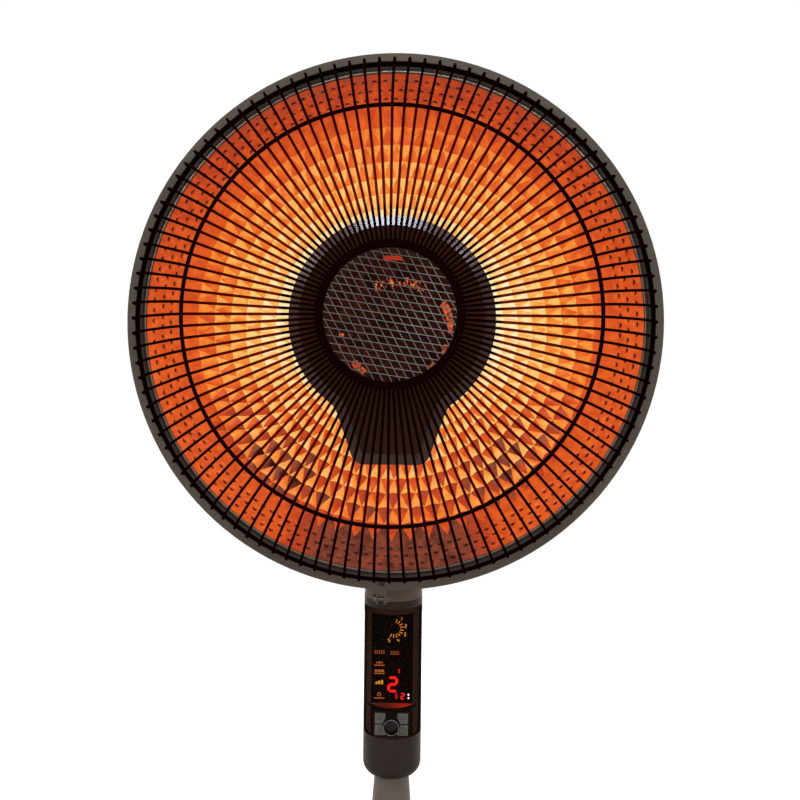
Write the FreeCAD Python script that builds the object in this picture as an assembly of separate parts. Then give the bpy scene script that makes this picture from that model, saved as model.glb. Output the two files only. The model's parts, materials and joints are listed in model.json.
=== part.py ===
import FreeCAD
import Part
import math
import os

# A radiant dish heater on a stand. All sizes are in millimetres.
# The origin is the middle of the base's underside, +Z is up and the front faces -Y.

Vec = FreeCAD.Vector
LEFT_RIGHT = Vec(1, 0, 0)
FRONT_BACK = Vec(0, 1, 0)
UP = Vec(0, 0, 1)

# Head: a bowl on a level axis, drawn as radius against depth
DISH_Z = 700.0
RIM_Y = -80.0
RIM_R = 220.0
BAND_WALL = 1.6
BAND_DEPTH = 9.8
BAND_LIP = 6.4
BAND_BACK_LIP = 2.4
BAND_SPLIT_TURN = 1.85
BAND_SPLIT_GAP = 5.2
EAR_LENGTH = 12.0
EAR_WALL = 1.5
TONGUE_RISE = 3.3
TONGUE_DROP = 4.2
TONGUE_WALL = 2.0
CLAMP_SCREW_DROP = 8.4
CLAMP_SCREW_R = 1.5
CLAMP_HEAD_R = 3.0
CLAMP_HEAD = 2.4
FLANGE_WALL = 3.0
SHELL_WALL = 2.5
SHELL_APEX_Y = 45.0
SHELL_STEP = 2.0
SHELL_LIP = 6.0
REAR_SEAT_R = 66.0
REAR_HOLE_R = 54.0
REAR_COVER_DEPTH = 22.0
REAR_VENTS = 7
REAR_VENT_WIDTH = 4.0

# Reflector: a pressed dish of staggered diamonds
REFLECTOR_INSET = 15.0
REFLECTOR_APEX_Y = 27.0
REFLECTOR_SHEET = 1.0
REFLECTOR_LIP = 4.0
FACET_COLUMNS = 72
FACET_ROWS = 10
FACET_INNER_R = 64.0
FACET_PLAIN_ZONE = 21.0
FACET_HEIGHT = 3.0
REFLECTOR_EYE_R = 24.0
REFLECTOR_BACK_BANDS = 3

# Wire guard
SPOKES = 108
SPOKE_WIRE = 2.4
RING_WIRE = 3.2
GUARD_SHOULDER = 15.0
GUARD_HEIGHT = 51.5
MID_RING_INSET = 58.8
HUB_OUTER_R = 56.8
HUB_INNER_R = 50.4
HUB_WALL = 2.0
MESH_R = 53.2
MESH_WALL = 1.0
MESH_PITCH = 5.65
MESH_LEVEL_SLOPE = -8.5
MESH_STEEP_SLOPE = -61.0
MESH_STRAND = 1.1

# Lamp and its shield
SHIELD_Y = -102.0
SHIELD_R = 83.0
SHIELD_BEVEL = 9.0
SHIELD_BEVEL_DEPTH = 6.0
SHIELD_SKIRT = 7.0
SHIELD_SHEET = 1.2
SHIELD_HOLE_R = 50.0
SHIELD_TUNNEL = 40.0
TAIL_CORNER_R = 11.0
TAIL_CORNER_X = 21.0
TAIL_CORNER_DROP = 105.0
TAIL_TAPER = 19.5
TAIL_FILLET_R = 15.0
LAMP_Y = -78.0
LAMP_RING_R = 68.0
LAMP_TUBE_R = 5.0
LAMP_GLASS = 1.2
LAMP_LEG_X = 14.0
LAMP_BEND_R = 14.0
LAMP_LEG_DROP = 98.0
FILAMENT_R = 1.3
CERAMIC_WIDTH = 16.0
CERAMIC_HEIGHT = 21.0
CERAMIC_GRIP = 8.0
BRACKET_WIDTH = 44.0
BRACKET_SHEET = 2.0
BRACKET_TAB = 9.5
BRACKET_SEAT_WALL = 0.8
BRACKET_SEAT_RISE = 10.0
STAY_R = 1.8
STAY_ANGLE = 35.0
STAY_OUT = 60.0
CLIP_WIDTH = 7.0
CLIP_SHEET = 1.2
LAMP_RING_STEPS = 16
LAMP_BEND_STEPS = 3
LAMP_SIDES = 8
CLIP_ANGLE = 62.0

# Tilt joint behind the bowl
PIVOT_Y = 56.0
PIVOT_DROP = 110.0
BOSS_HALF_WIDTH = 20.0
BOSS_LOW_DROP = 120.0
BOSS_HIGH_DROP = 72.0
KNUCKLE_PLATE = 4.0
KNUCKLE_WIDTH = 16.0
EYE_R = 13.0
PIN_R = 4.0
PIN_FIT = 0.05
WASHER = 1.0
CHEEK = 4.0
PIN_HEAD = 4.0

# Neck: a leaning tapered tube in two halves
NECK_TOP_DROP = 30.0
NECK_LOW_R = 26.6
NECK_HIGH_R = 22.0
NECK_WALL = 2.5
YOKE_FOOT = 8.0

# Swing joint at the column's top
COLUMN_R = 26.6
COLUMN_WALL = 2.5
COLUMN_TOP_Z = 449.5
COLUMN_LOW_Z = 333.5
COLLAR_HEIGHT = 6.3
SWING_GAP = 0.3
BUSH_WALL = 3.0
BUSH_FLANGE = 2.0
BUSH_FLANGE_R = 14.0
SHAFT_R = 6.0
SHAFT_BORE_R = 3.5
SHAFT_FLANGE = 4.0
GEAR_MODULE = 1.0
GEAR_TEETH = 18
PINION_TEETH = 12
GEAR_HEIGHT = 8.0
GEAR_BACKLASH = 0.3
PRESSURE_ANGLE = 25.0
MOTOR_SHELF_DROP = 47.5
SHELF_WALL = 3.0
MOTOR_HEIGHT = 32.0
MOTOR_WIDTH = 18.0
MOTOR_DEPTH = 12.0
MOTOR_SHAFT_R = 2.0
MOTOR_SOCKET = 10.0

# Controls on the column's front
BOARD_Y = -12.6
BOARD_WALL = 1.6
DISPLAY_WIDTH = 38.8
PAD_Y = -19.0
PAD_WALL = 3.5
PAD_WIDTH = 35.0
SHELF_RISE = 26.9
PAD_SHELF = 3.0
KEY_X = 10.2
KEY_RISE = 10.9
KEY_SPACING = 10.6
KEY_WIDTH = 9.4
KEY_HEIGHT = 9.4
KEY_PROUD = 1.0
KEY_GAP = 0.3
KEY_FLANGE = 0.6
KEY_SCOOP_R = 8.2
POWER_R = 5.6
POWER_DROP = 1.5
FIT = 0.2

# Stand
CAP_HEIGHT = 39.5
CAP_ROUND = 11.0
CAP_WALL = 2.5
SPIGOT_R = 10.4
SPIGOT_LENGTH = 26.0
POLE_FLARE = 4.4
POLE_WALL = 2.5
POLE_FOOT_R = 18.0
BASE_R = 170.0
BASE_TOP_Z = 34.0
BASE_EDGE_Z = 18.0
BASE_WALL = 2.5
BASE_CROWN_R = 62.0
FOOT_HEIGHT = 3.0
FOOT_R = 11.0
FEET = 5
FEET_CIRCLE_R = 142.0
PLATE_WALL = 2.0
BALLAST_INNER_R = 60.0
BALLAST_OUTER_R = 128.0
BALLAST_HEIGHT = 7.0
NUT_HEIGHT = 6.0
NUT_R = 28.0
GLAND_R = 4.0
GLAND_BORE_R = 2.8
GLAND_FLANGE = 2.0

# Derived sizes of the head
BAND_FRONT_BACK_Y = RIM_Y + BAND_WALL
RING_FRONT_Y = BAND_FRONT_BACK_Y + FIT
FLANGE_FRONT_Y = RING_FRONT_Y + RING_WIRE
FLANGE_BACK_Y = FLANGE_FRONT_Y + FLANGE_WALL
FLANGE_R = RIM_R - BAND_WALL - FIT
BAND_LIP_R = RIM_R - BAND_LIP
RING_R = BAND_LIP_R - 1.0
SHELL_NECK_R = RING_R
REFLECTOR_EDGE_R = RIM_R - REFLECTOR_INSET
FACET_OUTER_R = REFLECTOR_EDGE_R - FACET_PLAIN_ZONE
MID_RING_R = RIM_R - MID_RING_INSET
SHELL_HEIGHT = SHELL_APEX_Y - FLANGE_BACK_Y - SHELL_STEP
SHELL_BALL_R = (SHELL_HEIGHT ** 2 + SHELL_NECK_R ** 2) / (2 * SHELL_HEIGHT)
REFLECTOR_EDGE_Y = FLANGE_FRONT_Y - REFLECTOR_SHEET
REFLECTOR_CURVE = (REFLECTOR_APEX_Y - REFLECTOR_EDGE_Y) / REFLECTOR_EDGE_R ** 2
GUARD_FRONT_Y = RIM_Y - GUARD_HEIGHT
SHIELD_INNER_Y = SHIELD_Y + SHIELD_SHEET

# Derived sizes of the joints and the stand
PIVOT_Z = DISH_Z - PIVOT_DROP
BOSS_LOW = DISH_Z - BOSS_LOW_DROP
BOSS_HIGH = DISH_Z - BOSS_HIGH_DROP
COLLAR_TOP_Z = COLUMN_TOP_Z + COLLAR_HEIGHT
NECK_LOW_Z = COLLAR_TOP_Z + SWING_GAP
NECK_HIGH_Z = PIVOT_Z - NECK_TOP_DROP
LEAN = PIVOT_Y / (PIVOT_Z - NECK_LOW_Z)
MOTOR_SHELF_Z = COLUMN_TOP_Z - MOTOR_SHELF_DROP
SHELF_Z = COLUMN_LOW_Z + SHELF_RISE
KEY_Z = COLUMN_LOW_Z + KEY_RISE
CAP_LOW_Z = COLUMN_LOW_Z - CAP_HEIGHT
BUSH_R = SHAFT_R + PIN_FIT + BUSH_WALL
BUSH_TOP_Z = COLLAR_TOP_Z + BUSH_FLANGE
COLUMN_INNER_R = COLUMN_R - COLUMN_WALL
GEAR_CENTRES = GEAR_MODULE * (GEAR_TEETH + PINION_TEETH) / 2
POLE_TOP_R = COLUMN_R - CAP_ROUND
PLATE_LOW_Z = FOOT_HEIGHT
PLATE_TOP_Z = PLATE_LOW_Z + PLATE_WALL


def shell_y(radius):
    """Depth of the bowl's back, part of a ball, at a radius from the dish axis."""
    return SHELL_APEX_Y - SHELL_BALL_R + math.sqrt(SHELL_BALL_R ** 2 - radius ** 2)


def reflector_y(radius):
    """Depth of the reflector's front at a radius from the dish axis."""
    return REFLECTOR_APEX_Y - REFLECTOR_CURVE * radius ** 2


def dish_point(radius, turn, y):
    """Point at a radius and an angle (degrees from +X, towards +Z) about the dish axis."""
    angle = math.radians(turn)
    return Vec(radius * math.cos(angle), y, DISH_Z + radius * math.sin(angle))


def box(x0, x1, y0, y1, z0, z1):
    """Block between two corners."""
    return Part.makeBox(x1 - x0, y1 - y0, z1 - z0, Vec(x0, y0, z0))


def rod(radius, start, end):
    """Round bar between two points."""
    return Part.makeCylinder(radius, (end - start).Length, start, end - start)


def pipe(outer, inner, start, end):
    """Round tube between two points."""
    return rod(outer, start, end).cut(rod(inner, start, end))


def turned(profile, origin, axis):
    """Solid of revolution about Y through the dish axis or about Z, from (radius, height) points."""
    if axis == UP:
        points = [origin + Vec(r, 0, h) for r, h in profile]
    else:
        points = [Vec(r, h, origin.z) for r, h in profile]
    face = Part.Face(Part.makePolygon(points + points[:1]))
    return face.revolve(origin, axis, 360)


def on_dish(profile):
    """Solid of revolution about the dish axis, from (radius, y) points."""
    return turned(profile, Vec(0, 0, DISH_Z), FRONT_BACK)


def on_stand(profile):
    """Solid of revolution about the column axis, from (radius, z) points."""
    return turned(profile, Vec(0, 0, 0), UP)


def polygon_face(points):
    """Flat face from its corners."""
    return Part.Face(Part.makePolygon(list(points) + [points[0]]))


def solid_of(faces):
    """Closed solid from its flat faces."""
    solid = Part.makeSolid(Part.Shell(faces))
    if solid.Volume < 0:
        solid.reverse()
    return solid


def sections_along(path, normal, section, closed):
    """Corner loops of a bar that follows a flat path, mitred at each corner."""
    loops = []
    count = len(path)
    for index, point in enumerate(path):
        before = path[index - 1] if closed or index > 0 else None
        after = path[(index + 1) % count] if closed or index < count - 1 else None
        ways = []
        if before is not None:
            ways.append((point - before).normalize())
        if after is not None:
            ways.append((after - point).normalize())
        way = sum(ways[1:], ways[0])
        way.normalize()
        across = way.cross(normal)
        stretch = 1.0 / ways[0].dot(way)
        loops.append([point + across * (u * stretch) + normal * v for u, v in section])
    return loops


def bar_along(path, normal, section, closed=False):
    """Bar of a constant section along a flat path of straight runs."""
    loops = sections_along(path, normal, section, closed)
    sides = len(section)
    spans = len(loops) if closed else len(loops) - 1
    faces = []
    for index in range(spans):
        here = loops[index]
        there = loops[(index + 1) % len(loops)]
        for side in range(sides):
            other = (side + 1) % sides
            faces.append(polygon_face([here[side], here[other], there[other], there[side]]))
    if not closed:
        faces.append(polygon_face(loops[0]))
        faces.append(polygon_face(loops[-1]))
    return solid_of(faces)


def square_section(width):
    """Corners of a square wire section."""
    half = width / 2
    return [(-half, -half), (half, -half), (half, half), (-half, half)]


def round_section(radius, sides):
    """Corners of a round wire section, as a regular polygon."""
    angles = [math.radians(360 * (side + 0.5) / sides) for side in range(sides)]
    return [(radius * math.cos(a), radius * math.sin(a)) for a in angles]


def wire_ring(radius, y):
    """Guard ring with a flat on its front, one short run per spoke."""
    turns = [360.0 * (index + 0.5) / SPOKES for index in range(SPOKES)]
    path = [dish_point(radius, turn, y) for turn in turns]
    return bar_along(path, FRONT_BACK, square_section(RING_WIRE), closed=True)


def arc_edge(points):
    """Round edge through three points."""
    return Part.Arc(*points).toShape()


def face_of(edges):
    """Flat face from edges that join end to end."""
    return Part.Face(Part.Wire(Part.__sortEdges__(edges)))


def bowl(inset, edge_r, rim):
    """Turned block under the bowl's round back: flat in the middle, round to edge_r, then along the rim."""
    radii = [REAR_SEAT_R, (REAR_SEAT_R + edge_r) / 2, edge_r]
    curve = [Vec(radius, shell_y(radius) - inset, DISH_Z) for radius in radii]
    front = Vec(0, FLANGE_FRONT_Y, DISH_Z)
    line = [curve[2]] + [Vec(radius, y, DISH_Z) for radius, y in rim]
    line += [front, Vec(0, curve[0].y, DISH_Z), curve[0]]
    face = face_of([arc_edge(curve)] + Part.makePolygon(line).Edges)
    return face.revolve(front, FRONT_BACK, 360)


def make_dish_shell():
    """Bowl with a rim flange, a flat seat for the rear cover and bosses for the tilt joint and the lamp."""
    lip_r = SHELL_NECK_R - SHELL_LIP
    flange = [(SHELL_NECK_R, FLANGE_BACK_Y), (FLANGE_R, FLANGE_BACK_Y), (FLANGE_R, FLANGE_FRONT_Y)]
    outer = bowl(0, SHELL_NECK_R, flange)
    hollow = bowl(SHELL_WALL, lip_r, [(lip_r, FLANGE_FRONT_Y)])
    boss_start = shell_y(math.hypot(BOSS_HALF_WIDTH, BOSS_LOW_DROP)) - SHELL_WALL
    boss = box(-BOSS_HALF_WIDTH, BOSS_HALF_WIDTH, boss_start, boss_y(), BOSS_LOW, BOSS_HIGH)
    shell = outer.fuse(boss).cut(hollow)
    low = bracket_shelf_z() - BRACKET_SEAT_RISE
    high = bracket_shelf_z() + BRACKET_TAB + BRACKET_SEAT_RISE
    seat = box(-BRACKET_WIDTH / 2, BRACKET_WIDTH / 2, bracket_seat_y(), boss_y() - SHELL_WALL, low, high)
    hole = rod(REAR_HOLE_R, Vec(0, 0, DISH_Z), Vec(0, SHELL_APEX_Y + 1, DISH_Z))
    lamp_boss = seat.common(outer.fuse(boss))
    return shell.fuse(lamp_boss).cut(hole).removeSplitter()


def boss_y():
    """Flat face of the boss that carries the tilt joint, just behind the bowl."""
    return shell_y(BOSS_HIGH_DROP) + FIT


def bracket_seat_y():
    """Flat face inside the bowl where the lamp's bracket is fixed."""
    drop = DISH_Z - bracket_shelf_z() + BRACKET_SHEET
    return shell_y(math.hypot(BRACKET_WIDTH / 2, drop)) - SHELL_WALL - BRACKET_SEAT_WALL


def facet_node(row, column):
    """Corner of the diamond pattern: odd rows are turned by half a column."""
    radius = FACET_INNER_R + (FACET_OUTER_R - FACET_INNER_R) * row / FACET_ROWS
    turn = (column + 0.5 * (row % 2)) * 360.0 / FACET_COLUMNS
    return dish_point(radius, turn, reflector_y(radius))


def facet_apex(low, high, left, right):
    """Raised middle of one diamond, on the lamp's side."""
    middle = (low + high + left + right) * 0.25
    radial = Vec(middle.x, 0, middle.z - DISH_Z)
    slope = Vec(radial).normalize() * (-2 * REFLECTOR_CURVE * radial.Length)
    normal = (slope - FRONT_BACK).normalize()
    return middle + normal * FACET_HEIGHT


def diamond(row, column):
    """Four flat sides of one pressed diamond."""
    shift = row % 2
    left = facet_node(row, column)
    right = facet_node(row, column + 1)
    low = facet_node(row - 1, column + shift)
    high = facet_node(row + 1, column + shift)
    top = facet_apex(low, high, left, right)
    return [polygon_face([a, b, top]) for a, b in ((low, right), (right, high), (high, left), (left, low))]


def ring_points(radius, y, half_turn=0.0):
    """One ring of corners of the reflector's plain zones."""
    return [dish_point(radius, (column + half_turn) * 360.0 / FACET_COLUMNS, y)
            for column in range(FACET_COLUMNS)]


def band_faces(inner, outer):
    """Flat sides between two rings of corners that line up."""
    count = len(inner)
    return [polygon_face([inner[i], inner[(i + 1) % count], outer[(i + 1) % count], outer[i]])
            for i in range(count)]


def reflector_front():
    """Diamonds, the half diamonds at both ends of the pattern and the plain zones."""
    faces = []
    for column in range(FACET_COLUMNS):
        for row in range(1, FACET_ROWS):
            faces.extend(diamond(row, column))
        faces.append(polygon_face([facet_node(0, column), facet_node(0, column + 1), facet_node(1, column)]))
        shift = FACET_ROWS % 2
        faces.append(polygon_face([facet_node(FACET_ROWS, column), facet_node(FACET_ROWS, column + 1),
                                   facet_node(FACET_ROWS - 1, column + shift)]))
    half = 0.5 * (FACET_ROWS % 2)
    eye = ring_points(REFLECTOR_EYE_R, reflector_y(REFLECTOR_EYE_R))
    first = ring_points(FACET_INNER_R, reflector_y(FACET_INNER_R))
    last = ring_points(FACET_OUTER_R, reflector_y(FACET_OUTER_R), half)
    edge = ring_points(REFLECTOR_EDGE_R, REFLECTOR_EDGE_Y, half)
    lip = ring_points(REFLECTOR_EDGE_R + REFLECTOR_LIP, REFLECTOR_EDGE_Y, half)
    faces.append(polygon_face(eye))
    faces.extend(band_faces(eye, first) + band_faces(last, edge) + band_faces(edge, lip))
    return faces, lip, half


def make_reflector():
    """Thin pressed dish with a flat lip, slotted for the lamp's bracket and drilled for the stays."""
    faces, lip, half = reflector_front()
    step = (FACET_OUTER_R - FACET_INNER_R) / REFLECTOR_BACK_BANDS
    radii = [REFLECTOR_EYE_R] + [FACET_INNER_R + step * band for band in range(REFLECTOR_BACK_BANDS + 1)]
    rings = [ring_points(radius, reflector_y(radius) + REFLECTOR_SHEET, half) for radius in radii]
    rings.append(ring_points(REFLECTOR_EDGE_R - REFLECTOR_SHEET, FLANGE_FRONT_Y, half))
    rings.append(ring_points(REFLECTOR_EDGE_R + REFLECTOR_LIP, FLANGE_FRONT_Y, half))
    faces.append(polygon_face(rings[0]))
    for inner, outer in zip(rings, rings[1:]):
        faces.extend(band_faces(inner, outer))
    faces.extend(band_faces(rings[-1], lip))
    dish = solid_of(faces)
    shelf = bracket_shelf_z()
    slot = box(-BRACKET_WIDTH / 2 - FIT, BRACKET_WIDTH / 2 + FIT, SHIELD_Y, boss_y(),
               shelf - BRACKET_SHEET - FIT, shelf + FIT)
    dish = dish.cut(slot)
    for stay in stay_rods(STAY_R + FIT):
        dish = dish.cut(stay)
    return dish


def seat_y():
    """Flat back of the bowl, where the rear cover sits."""
    return shell_y(REAR_SEAT_R)


def make_clamp_band():
    """Split hoop with a lip in front of the guard ring, one behind the flange, two ears and a tongue."""
    back = RIM_Y + BAND_DEPTH
    wall_r = RIM_R - BAND_WALL
    back_lip_r = SHELL_NECK_R + BAND_BACK_LIP
    hoop = on_dish([(BAND_LIP_R, RIM_Y), (RIM_R, RIM_Y), (RIM_R, back), (back_lip_r, back),
                    (back_lip_r, back - BAND_WALL), (wall_r, back - BAND_WALL),
                    (wall_r, BAND_FRONT_BACK_Y), (BAND_LIP_R, BAND_FRONT_BACK_Y)])
    low = DISH_Z - RIM_R
    half = BAND_SPLIT_GAP / 2
    gap = box(-half, half, RIM_Y - 1, back + 1, low - 1, low + BAND_LIP + 1)
    band = hoop.cut(gap)
    reach = half + EAR_WALL
    band = band.fuse(box(-reach, -half, RIM_Y, back, low - EAR_LENGTH, low + BAND_WALL))
    band = band.fuse(box(half, reach, RIM_Y, back, low - EAR_LENGTH, low + BAND_WALL))
    front = RIM_Y + FIT
    tongue = box(-half, half - KEY_GAP, front, front + TONGUE_WALL, low - TONGUE_DROP, low + TONGUE_RISE)
    hole = rod(CLAMP_SCREW_R + FIT, Vec(-reach - 1, ear_y(), ear_z()), Vec(reach + 1, ear_y(), ear_z()))
    return turn_to_split(band.fuse(tongue).cut(hole).removeSplitter())


def ear_y():
    """Depth of the clamp screw."""
    return RIM_Y + BAND_DEPTH / 2


def ear_z():
    """Height of the clamp screw before the band is turned to its place."""
    return DISH_Z - RIM_R - CLAMP_SCREW_DROP


def turn_to_split(shape):
    """Turn a piece at the bottom of the rim to where the band is split."""
    shape.rotate(Vec(0, 0, DISH_Z), FRONT_BACK, BAND_SPLIT_TURN)
    return shape


def hexagon(radius, centre, axis, length):
    """Six-sided nut blank along X or Z, given its corner radius."""
    angles = [math.radians(60 * corner) for corner in range(6)]
    if axis == LEFT_RIGHT:
        points = [centre + Vec(0, radius * math.cos(a), radius * math.sin(a)) for a in angles]
    else:
        points = [centre + Vec(radius * math.cos(a), radius * math.sin(a), 0) for a in angles]
    return polygon_face(points).extrude(axis * length)


def make_clamp_screw():
    """Screw through both ears, with its head on the left."""
    reach = BAND_SPLIT_GAP / 2 + EAR_WALL
    tip = reach + CLAMP_HEAD + CLAMP_SCREW_R
    shank = rod(CLAMP_SCREW_R, Vec(-reach, ear_y(), ear_z()), Vec(tip, ear_y(), ear_z()))
    head = rod(CLAMP_HEAD_R, Vec(-reach - CLAMP_HEAD, ear_y(), ear_z()), Vec(-reach, ear_y(), ear_z()))
    return turn_to_split(shank.fuse(head))


def make_clamp_nut():
    """Nut against the right ear."""
    reach = BAND_SPLIT_GAP / 2 + EAR_WALL
    centre = Vec(reach, ear_y(), ear_z())
    blank = hexagon(CLAMP_HEAD_R, centre, LEFT_RIGHT, CLAMP_HEAD)
    return turn_to_split(blank.cut(rod(CLAMP_SCREW_R + PIN_FIT, centre, centre + LEFT_RIGHT * CLAMP_HEAD)))


def spoke_profile():
    """Line of one guard wire as (radius, y): up from the rim, over the shoulder and in to the hub."""
    half = SPOKE_WIRE / 2
    rim_r = RING_R - 0.8
    shoulder_y = RING_FRONT_Y - GUARD_SHOULDER
    front_y = GUARD_FRONT_Y + half
    mid_y = front_y + 4.0
    return [(rim_r, RING_FRONT_Y), (rim_r, shoulder_y),
            ((2 * rim_r + MID_RING_R) / 3, (shoulder_y + mid_y) / 2 + 0.6),
            (MID_RING_R + RING_WIRE, mid_y), (MESH_R + FIT, front_y)]


def make_guard_spokes():
    """The bent wires of the guard, evenly spaced about the dish axis."""
    wires = []
    for index in range(SPOKES):
        turn = 360.0 * index / SPOKES
        path = [dish_point(radius, turn, y) for radius, y in spoke_profile()]
        angle = math.radians(turn)
        across = Vec(-math.sin(angle), 0, math.cos(angle))
        wires.append(bar_along(path, across, square_section(SPOKE_WIRE)))
    return Part.makeCompound(wires)


def make_guard_outer_ring():
    """Ring that the wires stand on, held between the band's lip and the bowl's flange."""
    return wire_ring(RING_R, RING_FRONT_Y + RING_WIRE / 2)


def make_guard_mid_ring():
    """Ring behind the wires, halfway up the dome."""
    mid_y = spoke_profile()[3][1]
    return wire_ring(MID_RING_R, mid_y + SPOKE_WIRE / 2 + FIT + RING_WIRE / 2)


def make_guard_hub_ring():
    """Flat ring over the wires' inner ends and the mesh's edge."""
    front = Vec(0, GUARD_FRONT_Y - HUB_WALL, DISH_Z)
    return pipe(HUB_OUTER_R, HUB_INNER_R, front, Vec(0, GUARD_FRONT_Y, DISH_Z))


def mesh_point(level, steep):
    """Point (x, z) given its distances from the middle strand of each family."""
    flat = math.radians(MESH_LEVEL_SLOPE)
    sheer = math.radians(MESH_STEEP_SLOPE)
    spread = math.sin(sheer - flat)
    x = (level * math.cos(sheer) - steep * math.cos(flat)) / spread
    z = (level * math.sin(sheer) - steep * math.sin(flat)) / spread
    return x, z


def mesh_gap(row, column):
    """Corners of the gap between two level strands and two steep ones."""
    near = MESH_STRAND / 2
    far = MESH_PITCH - MESH_STRAND / 2
    low = row * MESH_PITCH
    side = column * MESH_PITCH
    return [mesh_point(low + u, side + v) for u, v in ((near, near), (far, near), (far, far), (near, far))]


def make_guard_mesh():
    """Expanded metal disc: one sheet with every gap that lies whole inside its edge."""
    limit = HUB_INNER_R - FIT
    reach = int(limit / MESH_PITCH) + 2
    y = GUARD_FRONT_Y
    rim = Part.Wire([Part.makeCircle(MESH_R, Vec(0, y, DISH_Z), FRONT_BACK)])
    wires = [rim]
    for row in range(-reach, reach):
        for column in range(-reach, reach):
            corners = mesh_gap(row, column)
            if max(math.hypot(x, z) for x, z in corners) < limit:
                points = [Vec(x, y, DISH_Z + z) for x, z in corners]
                wires.append(Part.makePolygon(points + points[:1]))
    sheet = Part.Face(wires, "Part::FaceMakerBullseye")
    return sheet.extrude(FRONT_BACK * MESH_WALL)


def keyhole(inset, y):
    """Outline of a round plate with a tapered tail, hollow where the tail leaves the round."""
    large = SHIELD_R - inset
    small = TAIL_CORNER_R - inset
    hollow = TAIL_FILLET_R + inset
    taper = math.radians(TAIL_TAPER)
    outward = Vec(math.cos(taper), 0, -math.sin(taper))
    upward = Vec(math.sin(taper), 0, math.cos(taper))
    corner = Vec(TAIL_CORNER_X, 0, -TAIL_CORNER_DROP)
    foot = corner + outward * (TAIL_CORNER_R + TAIL_FILLET_R)
    depth = -foot.dot(upward)
    climb = depth - math.sqrt((SHIELD_R + TAIL_FILLET_R) ** 2 - foot.dot(outward) ** 2)
    pivot = foot + upward * climb
    inward = pivot * (-1 / pivot.Length)

    def on_hollow(way):
        return pivot + way * (hollow / way.Length)

    def on_corner(way):
        return corner + way * (small / way.Length)

    down = Vec(0, 0, -1)
    half = [on_hollow(inward), on_hollow(inward - outward), on_hollow(outward * -1), on_corner(outward),
            on_corner(outward + down), on_corner(down)]
    right = [Vec(point.x, y, DISH_Z + point.z) for point in half]
    left = [Vec(-point.x, y, point.z) for point in right]
    edges = [Part.Arc(right[0], Vec(0, y, DISH_Z + large), left[0]),
             Part.Arc(*left[:3]),
             Part.LineSegment(left[2], left[3]),
             Part.Arc(*left[3:]),
             Part.LineSegment(left[5], right[5]),
             Part.Arc(*reversed(right[3:])),
             Part.LineSegment(right[3], right[2]),
             Part.Arc(*reversed(right[:3]))]
    return Part.Wire([edge.toShape() for edge in edges])


def pan(inset, front_inset, front_y, bevel_y, back_y):
    """Keyhole block with a bevelled front edge."""
    bevel = Part.makeLoft([keyhole(inset, bevel_y), keyhole(front_inset, front_y)], True, True)
    skirt = Part.Face(keyhole(inset, bevel_y)).extrude(FRONT_BACK * (back_y - bevel_y))
    return bevel.fuse(skirt)


def make_lamp_shield():
    """Pressed keyhole pan with a bevelled edge, a round window and a tunnel behind the window."""
    bevel_y = SHIELD_Y + SHIELD_BEVEL_DEPTH
    back_y = bevel_y + SHIELD_SKIRT
    outer = pan(0, SHIELD_BEVEL, SHIELD_Y, bevel_y, back_y)
    inner_inset = SHIELD_BEVEL + SHIELD_SHEET / 2
    inner = pan(SHIELD_SHEET, inner_inset, SHIELD_INNER_Y, bevel_y + SHIELD_SHEET / 3, back_y + 1)
    centre = Vec(0, SHIELD_Y, DISH_Z)
    far = centre + FRONT_BACK * SHIELD_TUNNEL
    tunnel = rod(SHIELD_HOLE_R + SHIELD_SHEET, centre, far)
    window = rod(SHIELD_HOLE_R, centre - FRONT_BACK, far + FRONT_BACK)
    return outer.cut(inner).fuse(tunnel).cut(window).removeSplitter()


def lamp_path():
    """Line of the lamp: up one leg, round the ring and down the other leg."""
    bend_x = LAMP_LEG_X + LAMP_BEND_R
    bend_drop = math.sqrt((LAMP_RING_R + LAMP_BEND_R) ** 2 - bend_x ** 2)
    meet = math.degrees(math.atan2(-bend_drop, bend_x))
    half = [(LAMP_LEG_X, -LAMP_LEG_DROP)]
    for step in range(LAMP_BEND_STEPS + 1):
        angle = math.radians(180 + meet * step / LAMP_BEND_STEPS)
        half.append((bend_x + LAMP_BEND_R * math.cos(angle), LAMP_BEND_R * math.sin(angle) - bend_drop))
    for step in range(1, LAMP_RING_STEPS + 1):
        angle = math.radians(meet + (90 - meet) * step / LAMP_RING_STEPS)
        half.append((LAMP_RING_R * math.cos(angle), LAMP_RING_R * math.sin(angle)))
    whole = half + [(-x, z) for x, z in reversed(half[:-1])]
    return [Vec(x, LAMP_Y, DISH_Z + z) for x, z in whole]


def make_lamp_tube():
    """Clear quartz tube bent to a ring with two legs."""
    path = lamp_path()
    outer = bar_along(path, FRONT_BACK, round_section(LAMP_TUBE_R, LAMP_SIDES))
    inner = bar_along(path, FRONT_BACK, round_section(LAMP_TUBE_R - LAMP_GLASS, LAMP_SIDES))
    return outer.cut(inner)


def make_lamp_filament():
    """Heating strand along the middle of the tube."""
    return bar_along(lamp_path(), FRONT_BACK, square_section(2 * FILAMENT_R))


def make_lamp_ends():
    """Two ceramic blocks that hold the lamp's legs."""
    half = CERAMIC_WIDTH / 2
    low = bracket_shelf_z()
    high = low + CERAMIC_HEIGHT
    blocks = []
    for x in (-LAMP_LEG_X, LAMP_LEG_X):
        block = box(x - half, x + half, LAMP_Y - half, LAMP_Y + half, low, high)
        socket = rod(LAMP_TUBE_R + FIT, Vec(x, LAMP_Y, high - CERAMIC_GRIP), Vec(x, LAMP_Y, high))
        blocks.append(block.cut(socket))
    return Part.makeCompound(blocks)


def bracket_shelf_z():
    """Top of the bracket's shelf, under the lamp's ceramic blocks."""
    return DISH_Z - LAMP_LEG_DROP + CERAMIC_GRIP - CERAMIC_HEIGHT


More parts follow.
